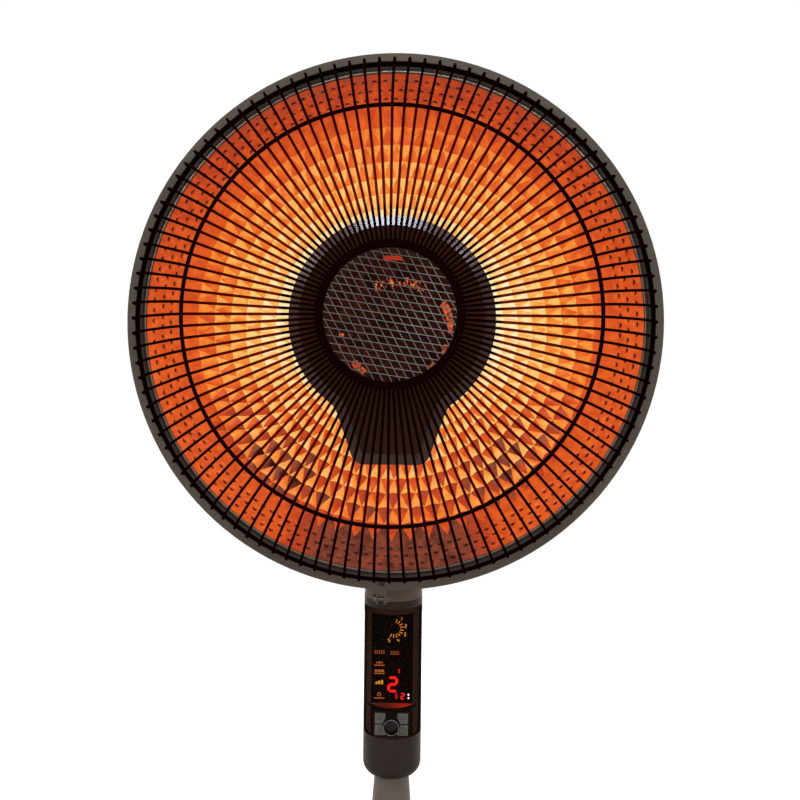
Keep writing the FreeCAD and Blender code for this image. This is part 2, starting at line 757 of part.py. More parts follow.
def make_lamp_bracket():
    """Bent steel strip from the bowl, through the reflector and up to the shield's tail."""
    half = BRACKET_SHEET / 2
    shelf = bracket_shelf_z() - half
    rear_y = bracket_seat_y() - half
    riser_y = SHIELD_Y + SHIELD_BEVEL_DEPTH + BRACKET_SHEET
    foot_z = DISH_Z - TAIL_CORNER_DROP + 2 * BRACKET_SHEET
    line = [(rear_y, shelf + BRACKET_TAB), (rear_y, shelf), (riser_y, shelf), (riser_y, foot_z),
            (SHIELD_INNER_Y, foot_z)]
    path = [Vec(0, y, z) for y, z in line]
    wide = BRACKET_WIDTH / 2
    return bar_along(path, LEFT_RIGHT, [(-half, -wide), (half, -wide), (half, wide), (-half, wide)])


def make_lamp_clips():
    """Two forked clips on the shield that steady the lamp's ring."""
    grip = LAMP_TUBE_R + FIT
    crown_y = LAMP_Y - grip
    half = CLIP_WIDTH / 2
    clips = []
    for turn in (CLIP_ANGLE, 180 - CLIP_ANGLE):
        post = box(LAMP_RING_R - half, LAMP_RING_R + half, SHIELD_INNER_Y, crown_y, -half, half)
        fork = box(LAMP_RING_R - grip - CLIP_SHEET, LAMP_RING_R + grip + CLIP_SHEET,
                   crown_y - CLIP_SHEET, LAMP_Y, -half, half)
        mouth = box(LAMP_RING_R - grip, LAMP_RING_R + grip, crown_y, LAMP_Y + 1, -half - 1, half + 1)
        clip = post.fuse(fork).cut(mouth)
        clip.translate(Vec(0, 0, DISH_Z))
        clip.rotate(Vec(0, 0, DISH_Z), FRONT_BACK, -turn)
        clips.append(clip)
    return Part.makeCompound(clips)


def stay_rods(radius):
    """Two rods from the shield's plate back to the bowl's flat seat."""
    rods = []
    for turn in (STAY_ANGLE, 180 - STAY_ANGLE):
        front = dish_point(STAY_OUT, turn, SHIELD_INNER_Y)
        rods.append(rod(radius, front, dish_point(STAY_OUT, turn, seat_y() - SHELL_WALL)))
    return rods


def make_shield_stays():
    """The rods that carry the shield's round end."""
    return Part.makeCompound(stay_rods(STAY_R))


def make_rear_cover():
    """Shallow cup over the wiring, with a row of level vents through its back."""
    radius = REAR_SEAT_R - 2.0
    near = Vec(0, seat_y(), DISH_Z)
    far = Vec(0, seat_y() + REAR_COVER_DEPTH, DISH_Z)
    cup = rod(radius, near, far).cut(rod(radius - SHELL_WALL, near, far - FRONT_BACK * SHELL_WALL))
    pitch = 2 * radius * 0.72 / REAR_VENTS
    for index in range(REAR_VENTS):
        rise = (index - (REAR_VENTS - 1) / 2) * pitch
        half = math.sqrt((radius - 3 * SHELL_WALL) ** 2 - rise ** 2) - REAR_VENT_WIDTH
        low = DISH_Z + rise - REAR_VENT_WIDTH / 2
        cup = cup.cut(box(-half, half, far.y - SHELL_WALL - 1, far.y + 1, low, low + REAR_VENT_WIDTH))
    return cup


def make_terminal_block():
    """Wiring terminals on the inside of the rear cover, between its vents and its rim."""
    back = seat_y() + REAR_COVER_DEPTH - SHELL_WALL
    low = DISH_Z - REAR_HOLE_R * 0.45
    return box(-18, 18, back - 12, back, low, low + 14)


def make_thermal_cutout():
    """Overheat switch on the back of the reflector's middle."""
    back = reflector_y(REFLECTOR_EYE_R) + REFLECTOR_SHEET
    return rod(8.0, Vec(0, back, DISH_Z), Vec(0, back + 7.0, DISH_Z))


def make_tilt_knuckle():
    """Plate on the bowl's boss with an arm and an eye for the tilt pin."""
    half = KNUCKLE_WIDTH / 2
    plate_y = boss_y() + KNUCKLE_PLATE
    plate = box(-BOSS_HALF_WIDTH, BOSS_HALF_WIDTH, boss_y(), plate_y, BOSS_LOW, BOSS_HIGH)
    arm = box(-half, half, plate_y, PIVOT_Y, PIVOT_Z - EYE_R, PIVOT_Z + EYE_R)
    eye = rod(EYE_R, Vec(-half, PIVOT_Y, PIVOT_Z), Vec(half, PIVOT_Y, PIVOT_Z))
    bore = rod(PIN_R + PIN_FIT, Vec(-half, PIVOT_Y, PIVOT_Z), Vec(half, PIVOT_Y, PIVOT_Z))
    return plate.fuse([arm, eye]).cut(bore).removeSplitter()


def cheek_inner():
    """Distance of the yoke's cheeks from the middle."""
    return KNUCKLE_WIDTH / 2 + WASHER


def neck_centre(z):
    """Depth of the leaning neck's middle at a height."""
    return LEAN * (z - NECK_LOW_Z)


def neck_circle(z, inset):
    """Level section of the neck."""
    radius = NECK_LOW_R + (NECK_HIGH_R - NECK_LOW_R) * (z - NECK_LOW_Z) / (NECK_HIGH_Z - NECK_LOW_Z)
    return Part.Wire([Part.makeCircle(radius - inset, Vec(0, neck_centre(z), z), UP)])


def neck_loft(low, high, inset):
    """Stretch of the leaning neck, as a solid."""
    return Part.makeLoft([neck_circle(low, inset), neck_circle(high, inset)], True, True)


def neck_tube():
    """The whole neck before it is split."""
    inner = neck_loft(NECK_LOW_Z - 1, NECK_HIGH_Z + 1, NECK_WALL)
    return neck_loft(NECK_LOW_Z, NECK_HIGH_Z, 0).cut(inner)


def front_half_space():
    """Block in front of the leaning plane that splits the neck."""
    low = NECK_LOW_Z - 10
    high = NECK_HIGH_Z + 10
    far = -3 * NECK_LOW_R
    corners = [(neck_centre(low), low), (neck_centre(high), high), (far, high), (far, low)]
    wide = 2 * NECK_LOW_R
    face = polygon_face([Vec(-wide, y, z) for y, z in corners])
    return face.extrude(LEFT_RIGHT * 2 * wide)


def make_neck_front():
    """Front half of the neck."""
    return neck_tube().common(front_half_space())


def make_neck_rear():
    """Rear half of the neck."""
    return neck_tube().cut(front_half_space())


def make_tilt_yoke():
    """Foot clamped in the neck's top, with two cheeks round the knuckle."""
    foot_z = NECK_HIGH_Z - YOKE_FOOT
    yoke = neck_loft(foot_z, NECK_HIGH_Z, NECK_WALL + FIT)
    centre = neck_centre(NECK_HIGH_Z)
    half = NECK_HIGH_R * 0.6
    slab = [(PIVOT_Y - EYE_R - 3, NECK_HIGH_Z - 1), (centre + half, NECK_HIGH_Z - 1),
            (PIVOT_Y + EYE_R, PIVOT_Z), (PIVOT_Y - EYE_R, PIVOT_Z)]
    for side in (-1, 1):
        near = side * cheek_inner()
        face = polygon_face([Vec(near, y, z) for y, z in slab])
        cheek = face.extrude(LEFT_RIGHT * side * CHEEK)
        start = Vec(near, PIVOT_Y, PIVOT_Z)
        yoke = yoke.fuse([cheek, rod(EYE_R, start, start + LEFT_RIGHT * side * CHEEK)])
    reach = cheek_inner() + CHEEK + 1
    hole = rod(PIN_R + FIT, Vec(-reach, PIVOT_Y, PIVOT_Z), Vec(reach, PIVOT_Y, PIVOT_Z))
    wiring = rod(SHAFT_R, Vec(0, centre, foot_z - 1), Vec(0, centre, NECK_HIGH_Z + 1))
    return yoke.cut(hole).cut(wiring).removeSplitter()


def make_tilt_washers():
    """Friction washers on both sides of the knuckle's eye."""
    rings = []
    for side in (-1, 1):
        start = Vec(side * KNUCKLE_WIDTH / 2, PIVOT_Y, PIVOT_Z)
        rings.append(pipe(EYE_R - 2, PIN_R + FIT, start, start + LEFT_RIGHT * side * WASHER))
    return Part.makeCompound(rings)


def make_tilt_pin():
    """Bolt through cheeks, washers and eye, with a round head."""
    reach = cheek_inner() + CHEEK
    start = Vec(-reach, PIVOT_Y, PIVOT_Z)
    shank = rod(PIN_R, start, Vec(reach + 6, PIVOT_Y, PIVOT_Z))
    return shank.fuse(rod(PIN_R + 3, start - LEFT_RIGHT * PIN_HEAD, start))


def make_tilt_nut():
    """Lock nut on the tilt bolt."""
    start = Vec(cheek_inner() + CHEEK, PIVOT_Y, PIVOT_Z)
    blank = hexagon(PIN_R + 3.4, start, LEFT_RIGHT, 5.0)
    return blank.cut(rod(PIN_R + PIN_FIT, start, start + LEFT_RIGHT * 5.0))


def gear_top_z():
    """Upper face of the swing gear and the pinion."""
    return COLUMN_TOP_Z - KEY_GAP


def make_swing_shaft():
    """Hollow shaft with a flange clamped in the neck's foot."""
    flange = neck_loft(BUSH_TOP_Z, BUSH_TOP_Z + SHAFT_FLANGE, NECK_WALL + FIT)
    low = gear_top_z() - GEAR_HEIGHT
    stem = rod(SHAFT_R, Vec(0, 0, low), Vec(0, 0, BUSH_TOP_Z))
    bore = rod(SHAFT_BORE_R, Vec(0, 0, low - 1), Vec(0, 0, BUSH_TOP_Z + SHAFT_FLANGE + 1))
    return flange.fuse(stem).cut(bore)


def make_swing_bush():
    """Flanged bearing bush in the collar."""
    sleeve = rod(BUSH_R, Vec(0, 0, COLUMN_TOP_Z), Vec(0, 0, BUSH_TOP_Z))
    flange = rod(BUSH_FLANGE_R, Vec(0, 0, COLLAR_TOP_Z), Vec(0, 0, BUSH_TOP_Z))
    bore = rod(SHAFT_R + PIN_FIT, Vec(0, 0, COLUMN_TOP_Z), Vec(0, 0, BUSH_TOP_Z))
    return sleeve.fuse(flange).cut(bore)


def make_swing_collar():
    """Dark ring that closes the column's top and carries the bush."""
    low = Vec(0, 0, COLUMN_TOP_Z)
    return pipe(COLUMN_R, BUSH_R + PIN_FIT, low, Vec(0, 0, COLLAR_TOP_Z))


def gear_outline(teeth, turn):
    """Corners of a spur gear with involute flanks in two steps; turn sets one tooth's middle."""
    pitch_r = GEAR_MODULE * teeth / 2
    base_r = pitch_r * math.cos(math.radians(PRESSURE_ANGLE))
    tip_r = pitch_r + 0.8 * GEAR_MODULE
    root_r = pitch_r - 1.1 * GEAR_MODULE

    def roll(radius):
        angle = math.acos(base_r / radius)
        return math.tan(angle) - angle

    half = (math.pi * GEAR_MODULE / 2 - GEAR_BACKLASH) / (2 * pitch_r)
    start_r = max(base_r, root_r)
    flank = [(root_r, half + roll(pitch_r))]
    for radius in (start_r, pitch_r, tip_r):
        flank.append((radius, half + roll(pitch_r) - roll(radius)))
    corners = []
    for tooth in range(teeth):
        middle = math.radians(turn) + 2 * math.pi * tooth / teeth
        corners += [(radius, middle - angle) for radius, angle in flank]
        corners += [(radius, middle + angle) for radius, angle in reversed(flank)]
    return corners


def spur_gear(teeth, turn, centre_y):
    """Spur gear blank about an upright axis."""
    low = gear_top_z() - GEAR_HEIGHT
    points = [Vec(r * math.cos(a), centre_y + r * math.sin(a), low) for r, a in gear_outline(teeth, turn)]
    return polygon_face(points).extrude(UP * GEAR_HEIGHT)


def make_swing_gear():
    """Gear on the swing shaft, with a tooth towards the pinion."""
    low = gear_top_z() - GEAR_HEIGHT
    bore = rod(SHAFT_R + PIN_FIT, Vec(0, 0, low), Vec(0, 0, gear_top_z()))
    return spur_gear(GEAR_TEETH, 90, 0).cut(bore)


def motor_top_z():
    """Upper face of the swing motor."""
    return MOTOR_SHELF_Z + SHELF_WALL + MOTOR_HEIGHT


def make_motor_pinion():
    """Pinion and the motor's output shaft, with a gap between teeth towards the swing gear."""
    gear = spur_gear(PINION_TEETH, -90 + 180.0 / PINION_TEETH, GEAR_CENTRES)
    low = Vec(0, GEAR_CENTRES, motor_top_z() - MOTOR_SOCKET)
    shaft = rod(MOTOR_SHAFT_R, low, Vec(0, GEAR_CENTRES, gear_top_z()))
    return gear.fuse(shaft)


def make_swing_motor():
    """Geared swing motor on the column's shelf."""
    low = MOTOR_SHELF_Z + SHELF_WALL
    wide = MOTOR_WIDTH / 2
    deep = MOTOR_DEPTH / 2
    top = Vec(0, GEAR_CENTRES, motor_top_z())
    body = box(-wide, wide, GEAR_CENTRES - deep, GEAR_CENTRES + deep, low, motor_top_z())
    return body.cut(rod(MOTOR_SHAFT_R + PIN_FIT, top - UP * (MOTOR_SOCKET + 1), top))


def half_tube(rear):
    """Front or rear half of the column's wall."""
    tube = pipe(COLUMN_R, COLUMN_INNER_R, Vec(0, 0, COLUMN_LOW_Z), Vec(0, 0, COLUMN_TOP_Z))
    side = box(-COLUMN_R - 1, COLUMN_R + 1, 0, COLUMN_R + 1, COLUMN_LOW_Z, COLUMN_TOP_Z)
    return tube.common(side) if rear else tube.cut(side)


def make_column_back():
    """Rear half of the column with a shelf for the motor."""
    shelf = rod(COLUMN_INNER_R + 1, Vec(0, 0, MOTOR_SHELF_Z), Vec(0, 0, MOTOR_SHELF_Z + SHELF_WALL))
    inner = box(-COLUMN_R, COLUMN_R, 0, COLUMN_R, MOTOR_SHELF_Z, MOTOR_SHELF_Z + SHELF_WALL)
    return half_tube(True).fuse(shelf.common(inner)).removeSplitter()


def pad_top_z():
    """Upper edge of the key pad, under its shelf."""
    return SHELF_Z - PAD_SHELF


def make_display_lens():
    """Smoked front half of the column, cut away round the key pad."""
    half = PAD_WIDTH / 2 + FIT
    return half_tube(False).cut(box(-half, half, -COLUMN_R - 1, PAD_Y / 2, COLUMN_LOW_Z, pad_top_z() + FIT))


def make_display_board():
    """Flat board behind the lens, standing on the pad's shelf."""
    half = DISPLAY_WIDTH / 2
    return box(-half, half, BOARD_Y, BOARD_Y + BOARD_WALL, SHELF_Z, COLUMN_TOP_Z)


def key_centres():
    """Middle of each corner key, by name."""
    names = {}
    for side, column in ((-1, "left"), (1, "right")):
        for rise, row in ((1, "upper"), (-1, "lower")):
            names["key_%s_%s" % (row, column)] = (side * KEY_X, KEY_Z + rise * KEY_SPACING / 2)
    return names


def power_rod(radius, front, back):
    """Round bar about the power button's middle."""
    z = KEY_Z - POWER_DROP
    return rod(radius, Vec(0, front, z), Vec(0, back, z))


def key_block(x, z, front, back, grow):
    """Upright block about a key's middle, scooped out round the power button."""
    wide = KEY_WIDTH / 2 + grow
    tall = KEY_HEIGHT / 2 + grow
    block = box(x - wide, x + wide, front, back, z - tall, z + tall)
    return block.cut(power_rod(KEY_SCOOP_R - grow, front, back))


def make_key_bezel():
    """Flat pad with windows for the keys, and a shelf over it that closes the lens."""
    half = PAD_WIDTH / 2
    back = PAD_Y + PAD_WALL
    plate = box(-half, half, PAD_Y, back, COLUMN_LOW_Z, pad_top_z())
    disc = rod(COLUMN_INNER_R - FIT, Vec(0, 0, pad_top_z()), Vec(0, 0, SHELF_Z))
    ahead = box(-COLUMN_R, COLUMN_R, -COLUMN_R, BOARD_Y + 2 * BOARD_WALL, pad_top_z(), SHELF_Z)
    bezel = plate.fuse(disc.common(ahead))
    for x, z in key_centres().values():
        bezel = bezel.cut(key_block(x, z, PAD_Y - 1, back + 1, KEY_GAP))
    return bezel.cut(power_rod(POWER_R + KEY_GAP, PAD_Y - 1, back + 1)).removeSplitter()


def make_key(x, z):
    """Corner key with a flange behind the pad."""
    back = PAD_Y + PAD_WALL
    cap = key_block(x, z, PAD_Y - KEY_PROUD, back, 0)
    return cap.fuse(key_block(x, z, back, back + KEY_FLANGE, KEY_FLANGE))


def make_power_button():
    """Round middle button with a flange behind the pad."""
    back = PAD_Y + PAD_WALL
    cap = power_rod(POWER_R, PAD_Y - KEY_PROUD, back)
    return cap.fuse(power_rod(POWER_R + KEY_FLANGE, back, back + KEY_FLANGE))


def make_key_board():
    """Switch board behind the keys, between the cap and the pad's shelf."""
    half = PAD_WIDTH / 2
    return box(-half, half, BOARD_Y, BOARD_Y + BOARD_WALL, COLUMN_LOW_Z, pad_top_z())


def make_column_cap():
    """Rounded lower end of the column, with a spigot for the pole."""
    body = rod(COLUMN_R, Vec(0, 0, CAP_LOW_Z), Vec(0, 0, COLUMN_LOW_Z))
    edges = [edge for edge in body.Edges if abs(edge.CenterOfMass.z - CAP_LOW_Z) < 0.01 and edge.Closed]
    body = body.makeFillet(CAP_ROUND, edges)
    floor = CAP_LOW_Z + CAP_ROUND + CAP_WALL
    hollow = rod(COLUMN_R - CAP_WALL, Vec(0, 0, floor), Vec(0, 0, COLUMN_LOW_Z - CAP_WALL))
    spigot = rod(SPIGOT_R, Vec(0, 0, CAP_LOW_Z - SPIGOT_LENGTH), Vec(0, 0, CAP_LOW_Z))
    wiring = rod(SPIGOT_R - 3.0, Vec(0, 0, CAP_LOW_Z - SPIGOT_LENGTH), Vec(0, 0, COLUMN_LOW_Z))
    return body.cut(hollow).fuse(spigot).cut(wiring).removeSplitter()


def pole_r(z):
    """Outer radius of the flared pole at a height."""
    return POLE_TOP_R + (CAP_LOW_Z - z) * math.tan(math.radians(POLE_FLARE))


def make_pole():
    """Flared tube with a socket at its top and a threaded foot."""
    floor = BASE_TOP_Z + POLE_WALL
    socket_z = CAP_LOW_Z - SPIGOT_LENGTH - POLE_WALL
    bore = SPIGOT_R + FIT / 2
    foot_low = BASE_TOP_Z - BASE_WALL - NUT_HEIGHT - 2
    foot_bore = POLE_FOOT_R - POLE_WALL
    return on_stand([(POLE_TOP_R, CAP_LOW_Z), (pole_r(BASE_TOP_Z), BASE_TOP_Z), (POLE_FOOT_R, BASE_TOP_Z),
                     (POLE_FOOT_R, foot_low), (foot_bore, foot_low), (foot_bore, floor),
                     (pole_r(floor) - POLE_WALL, floor), (pole_r(socket_z) - POLE_WALL, socket_z),
                     (bore, socket_z), (bore, CAP_LOW_Z)])


def make_pole_nut():
    """Ring nut under the base cover that pulls the pole down."""
    high = BASE_TOP_Z - BASE_WALL
    blank = hexagon(NUT_R, Vec(0, 0, high - NUT_HEIGHT), UP, NUT_HEIGHT)
    return blank.cut(rod(POLE_FOOT_R + PIN_FIT, Vec(0, 0, high - NUT_HEIGHT), Vec(0, 0, high)))


def base_z(radius):
    """Height of the base cover's crown, which starts level and rounds down to its edge."""
    fall = BASE_TOP_Z - BASE_EDGE_Z
    reach = BASE_R - BASE_CROWN_R
    round_r = (reach ** 2 + fall ** 2) / (2 * fall)
    return BASE_TOP_Z - round_r + math.sqrt(round_r ** 2 - (radius - BASE_CROWN_R) ** 2)


def crown_points(edge_r, inset):
    """Three points along the crown, from its level middle out to a radius."""
    radii = [BASE_CROWN_R, (BASE_CROWN_R + edge_r) / 2, edge_r]
    return [Vec(radius, 0, base_z(radius) - inset) for radius in radii]


def gland_z():
    """Height of the cord inlet."""
    return PLATE_TOP_Z + GLAND_R + 1.5


def make_base_cover():
    """Crowned round cover, open below, with a hole for the pole and one for the cord."""
    hole = POLE_FOOT_R + FIT
    rim = BASE_R - BASE_WALL
    top = crown_points(BASE_R, 0)
    under = crown_points(rim, BASE_WALL)
    skirt = [top[2], Vec(BASE_R, 0, PLATE_LOW_Z), Vec(rim, 0, PLATE_LOW_Z), under[2]]
    collar = [under[0], Vec(hole, 0, under[0].z), Vec(hole, 0, BASE_TOP_Z), top[0]]
    edges = [arc_edge(top), arc_edge(under)] + Part.makePolygon(skirt).Edges + Part.makePolygon(collar).Edges
    cover = face_of(edges).revolve(Vec(0, 0, 0), UP, 360)
    inlet = rod(GLAND_R + FIT, Vec(0, rim - 4, gland_z()), Vec(0, BASE_R + 1, gland_z()))
    return cover.cut(inlet)


def make_cord_gland():
    """Bush in the cord inlet, with a flange inside the cover."""
    rim = BASE_R - BASE_WALL
    inner = rim - 4 * GLAND_FLANGE
    tube = rod(GLAND_R, Vec(0, inner, gland_z()), Vec(0, BASE_R - 0.5, gland_z()))
    flange = rod(GLAND_R + 1, Vec(0, inner, gland_z()), Vec(0, rim - FIT, gland_z()))
    bore = rod(GLAND_BORE_R, Vec(0, inner, gland_z()), Vec(0, BASE_R, gland_z()))
    return tube.fuse(flange).cut(bore)


def make_base_plate():
    """Steel disc that closes the base."""
    radius = BASE_R - BASE_WALL - FIT
    return rod(radius, Vec(0, 0, PLATE_LOW_Z), Vec(0, 0, PLATE_TOP_Z))


def make_ballast():
    """Heavy ring on the base plate."""
    low = Vec(0, 0, PLATE_TOP_Z)
    return pipe(BALLAST_OUTER_R, BALLAST_INNER_R, low, low + UP * BALLAST_HEIGHT)


def make_feet():
    """Rubber feet in a circle under the base plate."""
    feet = []
    for index in range(FEET):
        angle = 2 * math.pi * index / FEET + math.pi / 2
        low = Vec(FEET_CIRCLE_R * math.cos(angle), FEET_CIRCLE_R * math.sin(angle), 0)
        feet.append(rod(FOOT_R, low, low + UP * FOOT_HEIGHT))
    return Part.makeCompound(feet)


def make_power_board():
    """Mains board on the ballast."""
    low = PLATE_TOP_Z + BALLAST_HEIGHT
    near = BALLAST_INNER_R + 8
    return box(-30, 30, near, BALLAST_OUTER_R - 8, low, low + BOARD_WALL)


def make_tip_switch():
    """Sealed tip-over switch on the base plate, inside the ballast ring."""
    return box(NUT_R + 4, NUT_R + 22, -8, 8, PLATE_TOP_Z, PLATE_TOP_Z + 14)


def all_nodes():
    """Every piece by the name of its file."""
    nodes = {
        "dish_shell": make_dish_shell(),
        "reflector": make_reflector(),
        "clamp_band": make_clamp_band(),
        "clamp_screw": make_clamp_screw(),
        "clamp_nut": make_clamp_nut(),
        "guard_spokes": make_guard_spokes(),
        "guard_outer_ring": make_guard_outer_ring(),
        "guard_mid_ring": make_guard_mid_ring(),
        "guard_hub_ring": make_guard_hub_ring(),
        "guard_mesh": make_guard_mesh(),
        "lamp_shield": make_lamp_shield(),
        "lamp_tube": make_lamp_tube(),
        "lamp_filament": make_lamp_filament(),
        "lamp_ends": make_lamp_ends(),
        "lamp_bracket": make_lamp_bracket(),
        "lamp_clips": make_lamp_clips(),
        "shield_stays": make_shield_stays(),
        "rear_cover": make_rear_cover(),
        "terminal_block": make_terminal_block(),
        "thermal_cutout": make_thermal_cutout(),
        "tilt_knuckle": make_tilt_knuckle(),
        "tilt_yoke": make_tilt_yoke(),
        "tilt_washers": make_tilt_washers(),
        "tilt_pin": make_tilt_pin(),
        "tilt_nut": make_tilt_nut(),
        "neck_front": make_neck_front(),
        "neck_rear": make_neck_rear(),
        "swing_shaft": make_swing_shaft(),
        "swing_gear": make_swing_gear(),
        "motor_pinion": make_motor_pinion(),
        "swing_bush": make_swing_bush(),
        "swing_collar": make_swing_collar(),
        "swing_motor": make_swing_motor(),
        "column_back": make_column_back(),
        "display_lens": make_display_lens(),
        "display_board": make_display_board(),
        "key_bezel": make_key_bezel(),
        "key_board": make_key_board(),
        "power_button": make_power_button(),
        "column_cap": make_column_cap(),
        "pole": make_pole(),
        "pole_nut": make_pole_nut(),
        "base_cover": make_base_cover(),
        "base_plate": make_base_plate(),
        "ballast": make_ballast(),
        "feet": make_feet(),
        "cord_gland": make_cord_gland(),
        "power_board": make_power_board(),
        "tip_switch": make_tip_switch(),
    }
    for name, (x, z) in key_centres().items():
        nodes[name] = make_key(x, z)
    return nodes


os.makedirs("parts", exist_ok=True)
for node, shape in all_nodes().items():
    shape.exportStep("parts/%s.step" % node)
    print("%-18s %3d solids  %10.1f mm3  valid %s" % (node, len(shape.Solids), shape.Volume, shape.isValid()))
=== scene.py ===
import json
import math
import random

import bmesh
import bpy
from mathutils import Matrix, Vector


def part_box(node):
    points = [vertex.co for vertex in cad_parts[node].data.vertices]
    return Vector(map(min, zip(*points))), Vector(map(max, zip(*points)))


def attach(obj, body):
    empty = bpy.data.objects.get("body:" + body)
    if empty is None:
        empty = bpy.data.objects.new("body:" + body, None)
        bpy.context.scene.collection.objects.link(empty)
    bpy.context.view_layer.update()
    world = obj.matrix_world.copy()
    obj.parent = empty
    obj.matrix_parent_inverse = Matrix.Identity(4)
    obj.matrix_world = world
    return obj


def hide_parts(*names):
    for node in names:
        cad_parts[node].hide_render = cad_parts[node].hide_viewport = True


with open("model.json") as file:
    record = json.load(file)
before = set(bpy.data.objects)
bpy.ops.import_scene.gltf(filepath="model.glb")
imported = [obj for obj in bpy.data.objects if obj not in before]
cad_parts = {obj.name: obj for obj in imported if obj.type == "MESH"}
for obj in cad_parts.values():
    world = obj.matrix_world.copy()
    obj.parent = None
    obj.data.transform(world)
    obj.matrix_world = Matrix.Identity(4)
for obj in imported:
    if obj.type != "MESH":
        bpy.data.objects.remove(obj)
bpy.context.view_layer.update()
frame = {"nodes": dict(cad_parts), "record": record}

# A radiant dish heater on a stand. All sizes are in metres, and the front faces -Y.


def middle(node, axis):
    """Middle of a CAD node along one axis."""
    low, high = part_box(node)
    return (low[axis] + high[axis]) / 2


def half_span(node, axis):
    """Half the size of a CAD node along one axis."""
    low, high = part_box(node)
    return (high[axis] - low[axis]) / 2


# Head, about a level axis at this height
DISH_Z = middle("guard_outer_ring", 2)
BACKWARDS = Vector((0, 1, 0))
WIRE_SIDES = 8

# Reflector
REFLECTOR_SHEET = 0.001
REFLECTOR_LIP = 0.004
LIP_ROLL = ((0.0, 0.0012), (0.001, 0.0015), (0.002, 0.0008))
LIP_SEGMENTS = 144
LIP_BEAD_R = 0.0007
LIP_BEAD_OUT = 0.0008
LIP_BEAD_FRONT = 0.0013
REFLECTOR_EDGE_R = half_span("reflector", 0) - REFLECTOR_LIP
REFLECTOR_APEX_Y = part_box("reflector")[1][1] - REFLECTOR_SHEET
REFLECTOR_EDGE_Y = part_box("reflector")[0][1]
REFLECTOR_CURVE = (REFLECTOR_APEX_Y - REFLECTOR_EDGE_Y) / REFLECTOR_EDGE_R ** 2
EYE_INNER_R = 0.024
EYE_RINGS = 18
EYE_SPLIT = 3
FACET_COLUMNS = 72
FACET_ROWS = 10
FACET_INNER_R = 0.064
FACET_OUTER_R = REFLECTOR_EDGE_R - 0.021
FACET_HEIGHT = 0.003
FACET_STRAY = 0.25
BUMP_ROWS = (0.1888, 0.1941, 0.1998)
BUMPS_PER_ROW = 144
BUMP_R = 0.0026
BUMP_HEIGHT = 0.0014
# Painted shade and painted highlight on the faces of the bumps
BUMP_SHADE = 0.08
BUMP_GLINT = 0.16
BUMP_DARK_FACING = (-0.10, -0.45)
BUMP_LIT_FACING = (0.2, 0.8)

# Lamp light and shade painted on the reflector as glow, as places on its colour ramp
GLOW_SHADE_R = 0.071
GLOW_SHADE = 0.10
GLOW_NEAR_R = 0.082
GLOW_NEAR = 0.98
GLOW_NEAR_LOW = 0.83
GLOW_FAR = 0.47
GLOW_FALL = 0.7
GLOW_LEAST = 0.03
GLOW_SIDE = 0.16
LOWER_RISE = (-0.2, -0.75)
GLOW_PLAIN = 0.46
GLOW_PLAIN_TOP = 0.42
GLOW_LOW = 0.20
EDGE_FADE = 0.12
EDGE_FADE_RISE = (0.0, 0.9)
LOW_HALF_ANGLE = math.radians(17)
LOW_FADE = math.radians(12)
LIGHT_NEAR = 0.12
LIGHT_TOP = 0.10
LIGHT_LOW = 0.24
DARK_NEAR = 0.15
DARK_TOP = 0.10
DARK_LOW = 0.52
LIVELY_RISE = (-0.30, -0.72)
CALM_RISE = (-0.82, -0.98)
CALM = 0.45
FADE_START = 0.80
# Painted light on the inner half of each diamond and painted shade on its outer half
LIT_LEANS = {"tip": 0.15, "left": 0.9, "right": 0.5, "top": 1.0}
DARK_LEANS = {"tip": -0.5, "left": -0.6, "right": -1.0, "top": -0.9}
EYE_GLOW = 0.05
GLOW_MOTTLE = 0.06
PATCH_DEPTH = 0.0025
# Painted sparkles of lamp light in the eye
SPARK_SHARE = 0.3
SPARK_RADII = (0.044, 0.052)
SPARK_ANGLES = (58, 118)
SPARK_GLOW = (0.2, 0.62)

# Patches of painted stray light in the eye, as radius, middle and half reach in degrees, and glow
EYE_PATCHES = ((0.0515, 16, 17, 0.40), (0.0485, -18, 7, 0.38), (0.0460, -43, 5, 0.30),
               (0.0585, 197, 5, 0.34), (0.0527, 183, 2, 0.44), (0.0493, 223, 9, 0.34))
EYE_FLICKER = (0.3, 0.8, 1.0, 1.2)

# Skin inside the shield's tunnel, with painted lamp light
TUNNEL_R = 0.0500
TUNNEL_GLOW_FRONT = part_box("lamp_shield")[0][1] + 0.001
TUNNEL_GLOW_BACK = TUNNEL_GLOW_FRONT + 0.018
TUNNEL_GLOW_REACH = 8.5
TUNNEL_GLOW_STEPS = 8
SKIN = 0.0003

# Wire guard
SPOKES = 108
SPOKE_R = 0.0011
RING_WIRE_R = 0.0016
RING_STEPS = 216
RING_SIDES = 10
OUTER_RING_R = half_span("guard_outer_ring", 0) - RING_WIRE_R
MID_RING_R = half_span("guard_mid_ring", 0) - RING_WIRE_R
GUARD_FRONT_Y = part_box("guard_spokes")[0][1]
GUARD_BACK_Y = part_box("guard_spokes")[1][1]
GUARD_SHOULDER = 0.015
MID_RING_SET_BACK = 0.004
SPOKE_RIM_INSET = 0.0008
SPOKE_BULGE = 0.0006
SPOKE_BEND_R = 0.012
BEND_SHARE = 0.45
BEND_STEPS = 4
WIRE_STEPS = 24
# Painted red light on the guard wires from the lit dish behind them
RED_START_R = 0.086
RED_END_R = 0.165
RED_TAIL_X = 0.044
RED_TAIL_R = 0.122
HUB_BAND = 0.0064
HUB_EDGE = 0.0008
HUB_SEGMENTS = 120
MESH_R = half_span("guard_mesh", 0)
MESH_PITCH = 0.00565
MESH_LEVEL_SLOPE = math.radians(-8.5)
MESH_STEEP_SLOPE = math.radians(-61)
MESH_STRAND = 0.0009
STRAND_SIDES = 6
MESH_EDGE = 0.001
MESH_LAYER = 0.0002

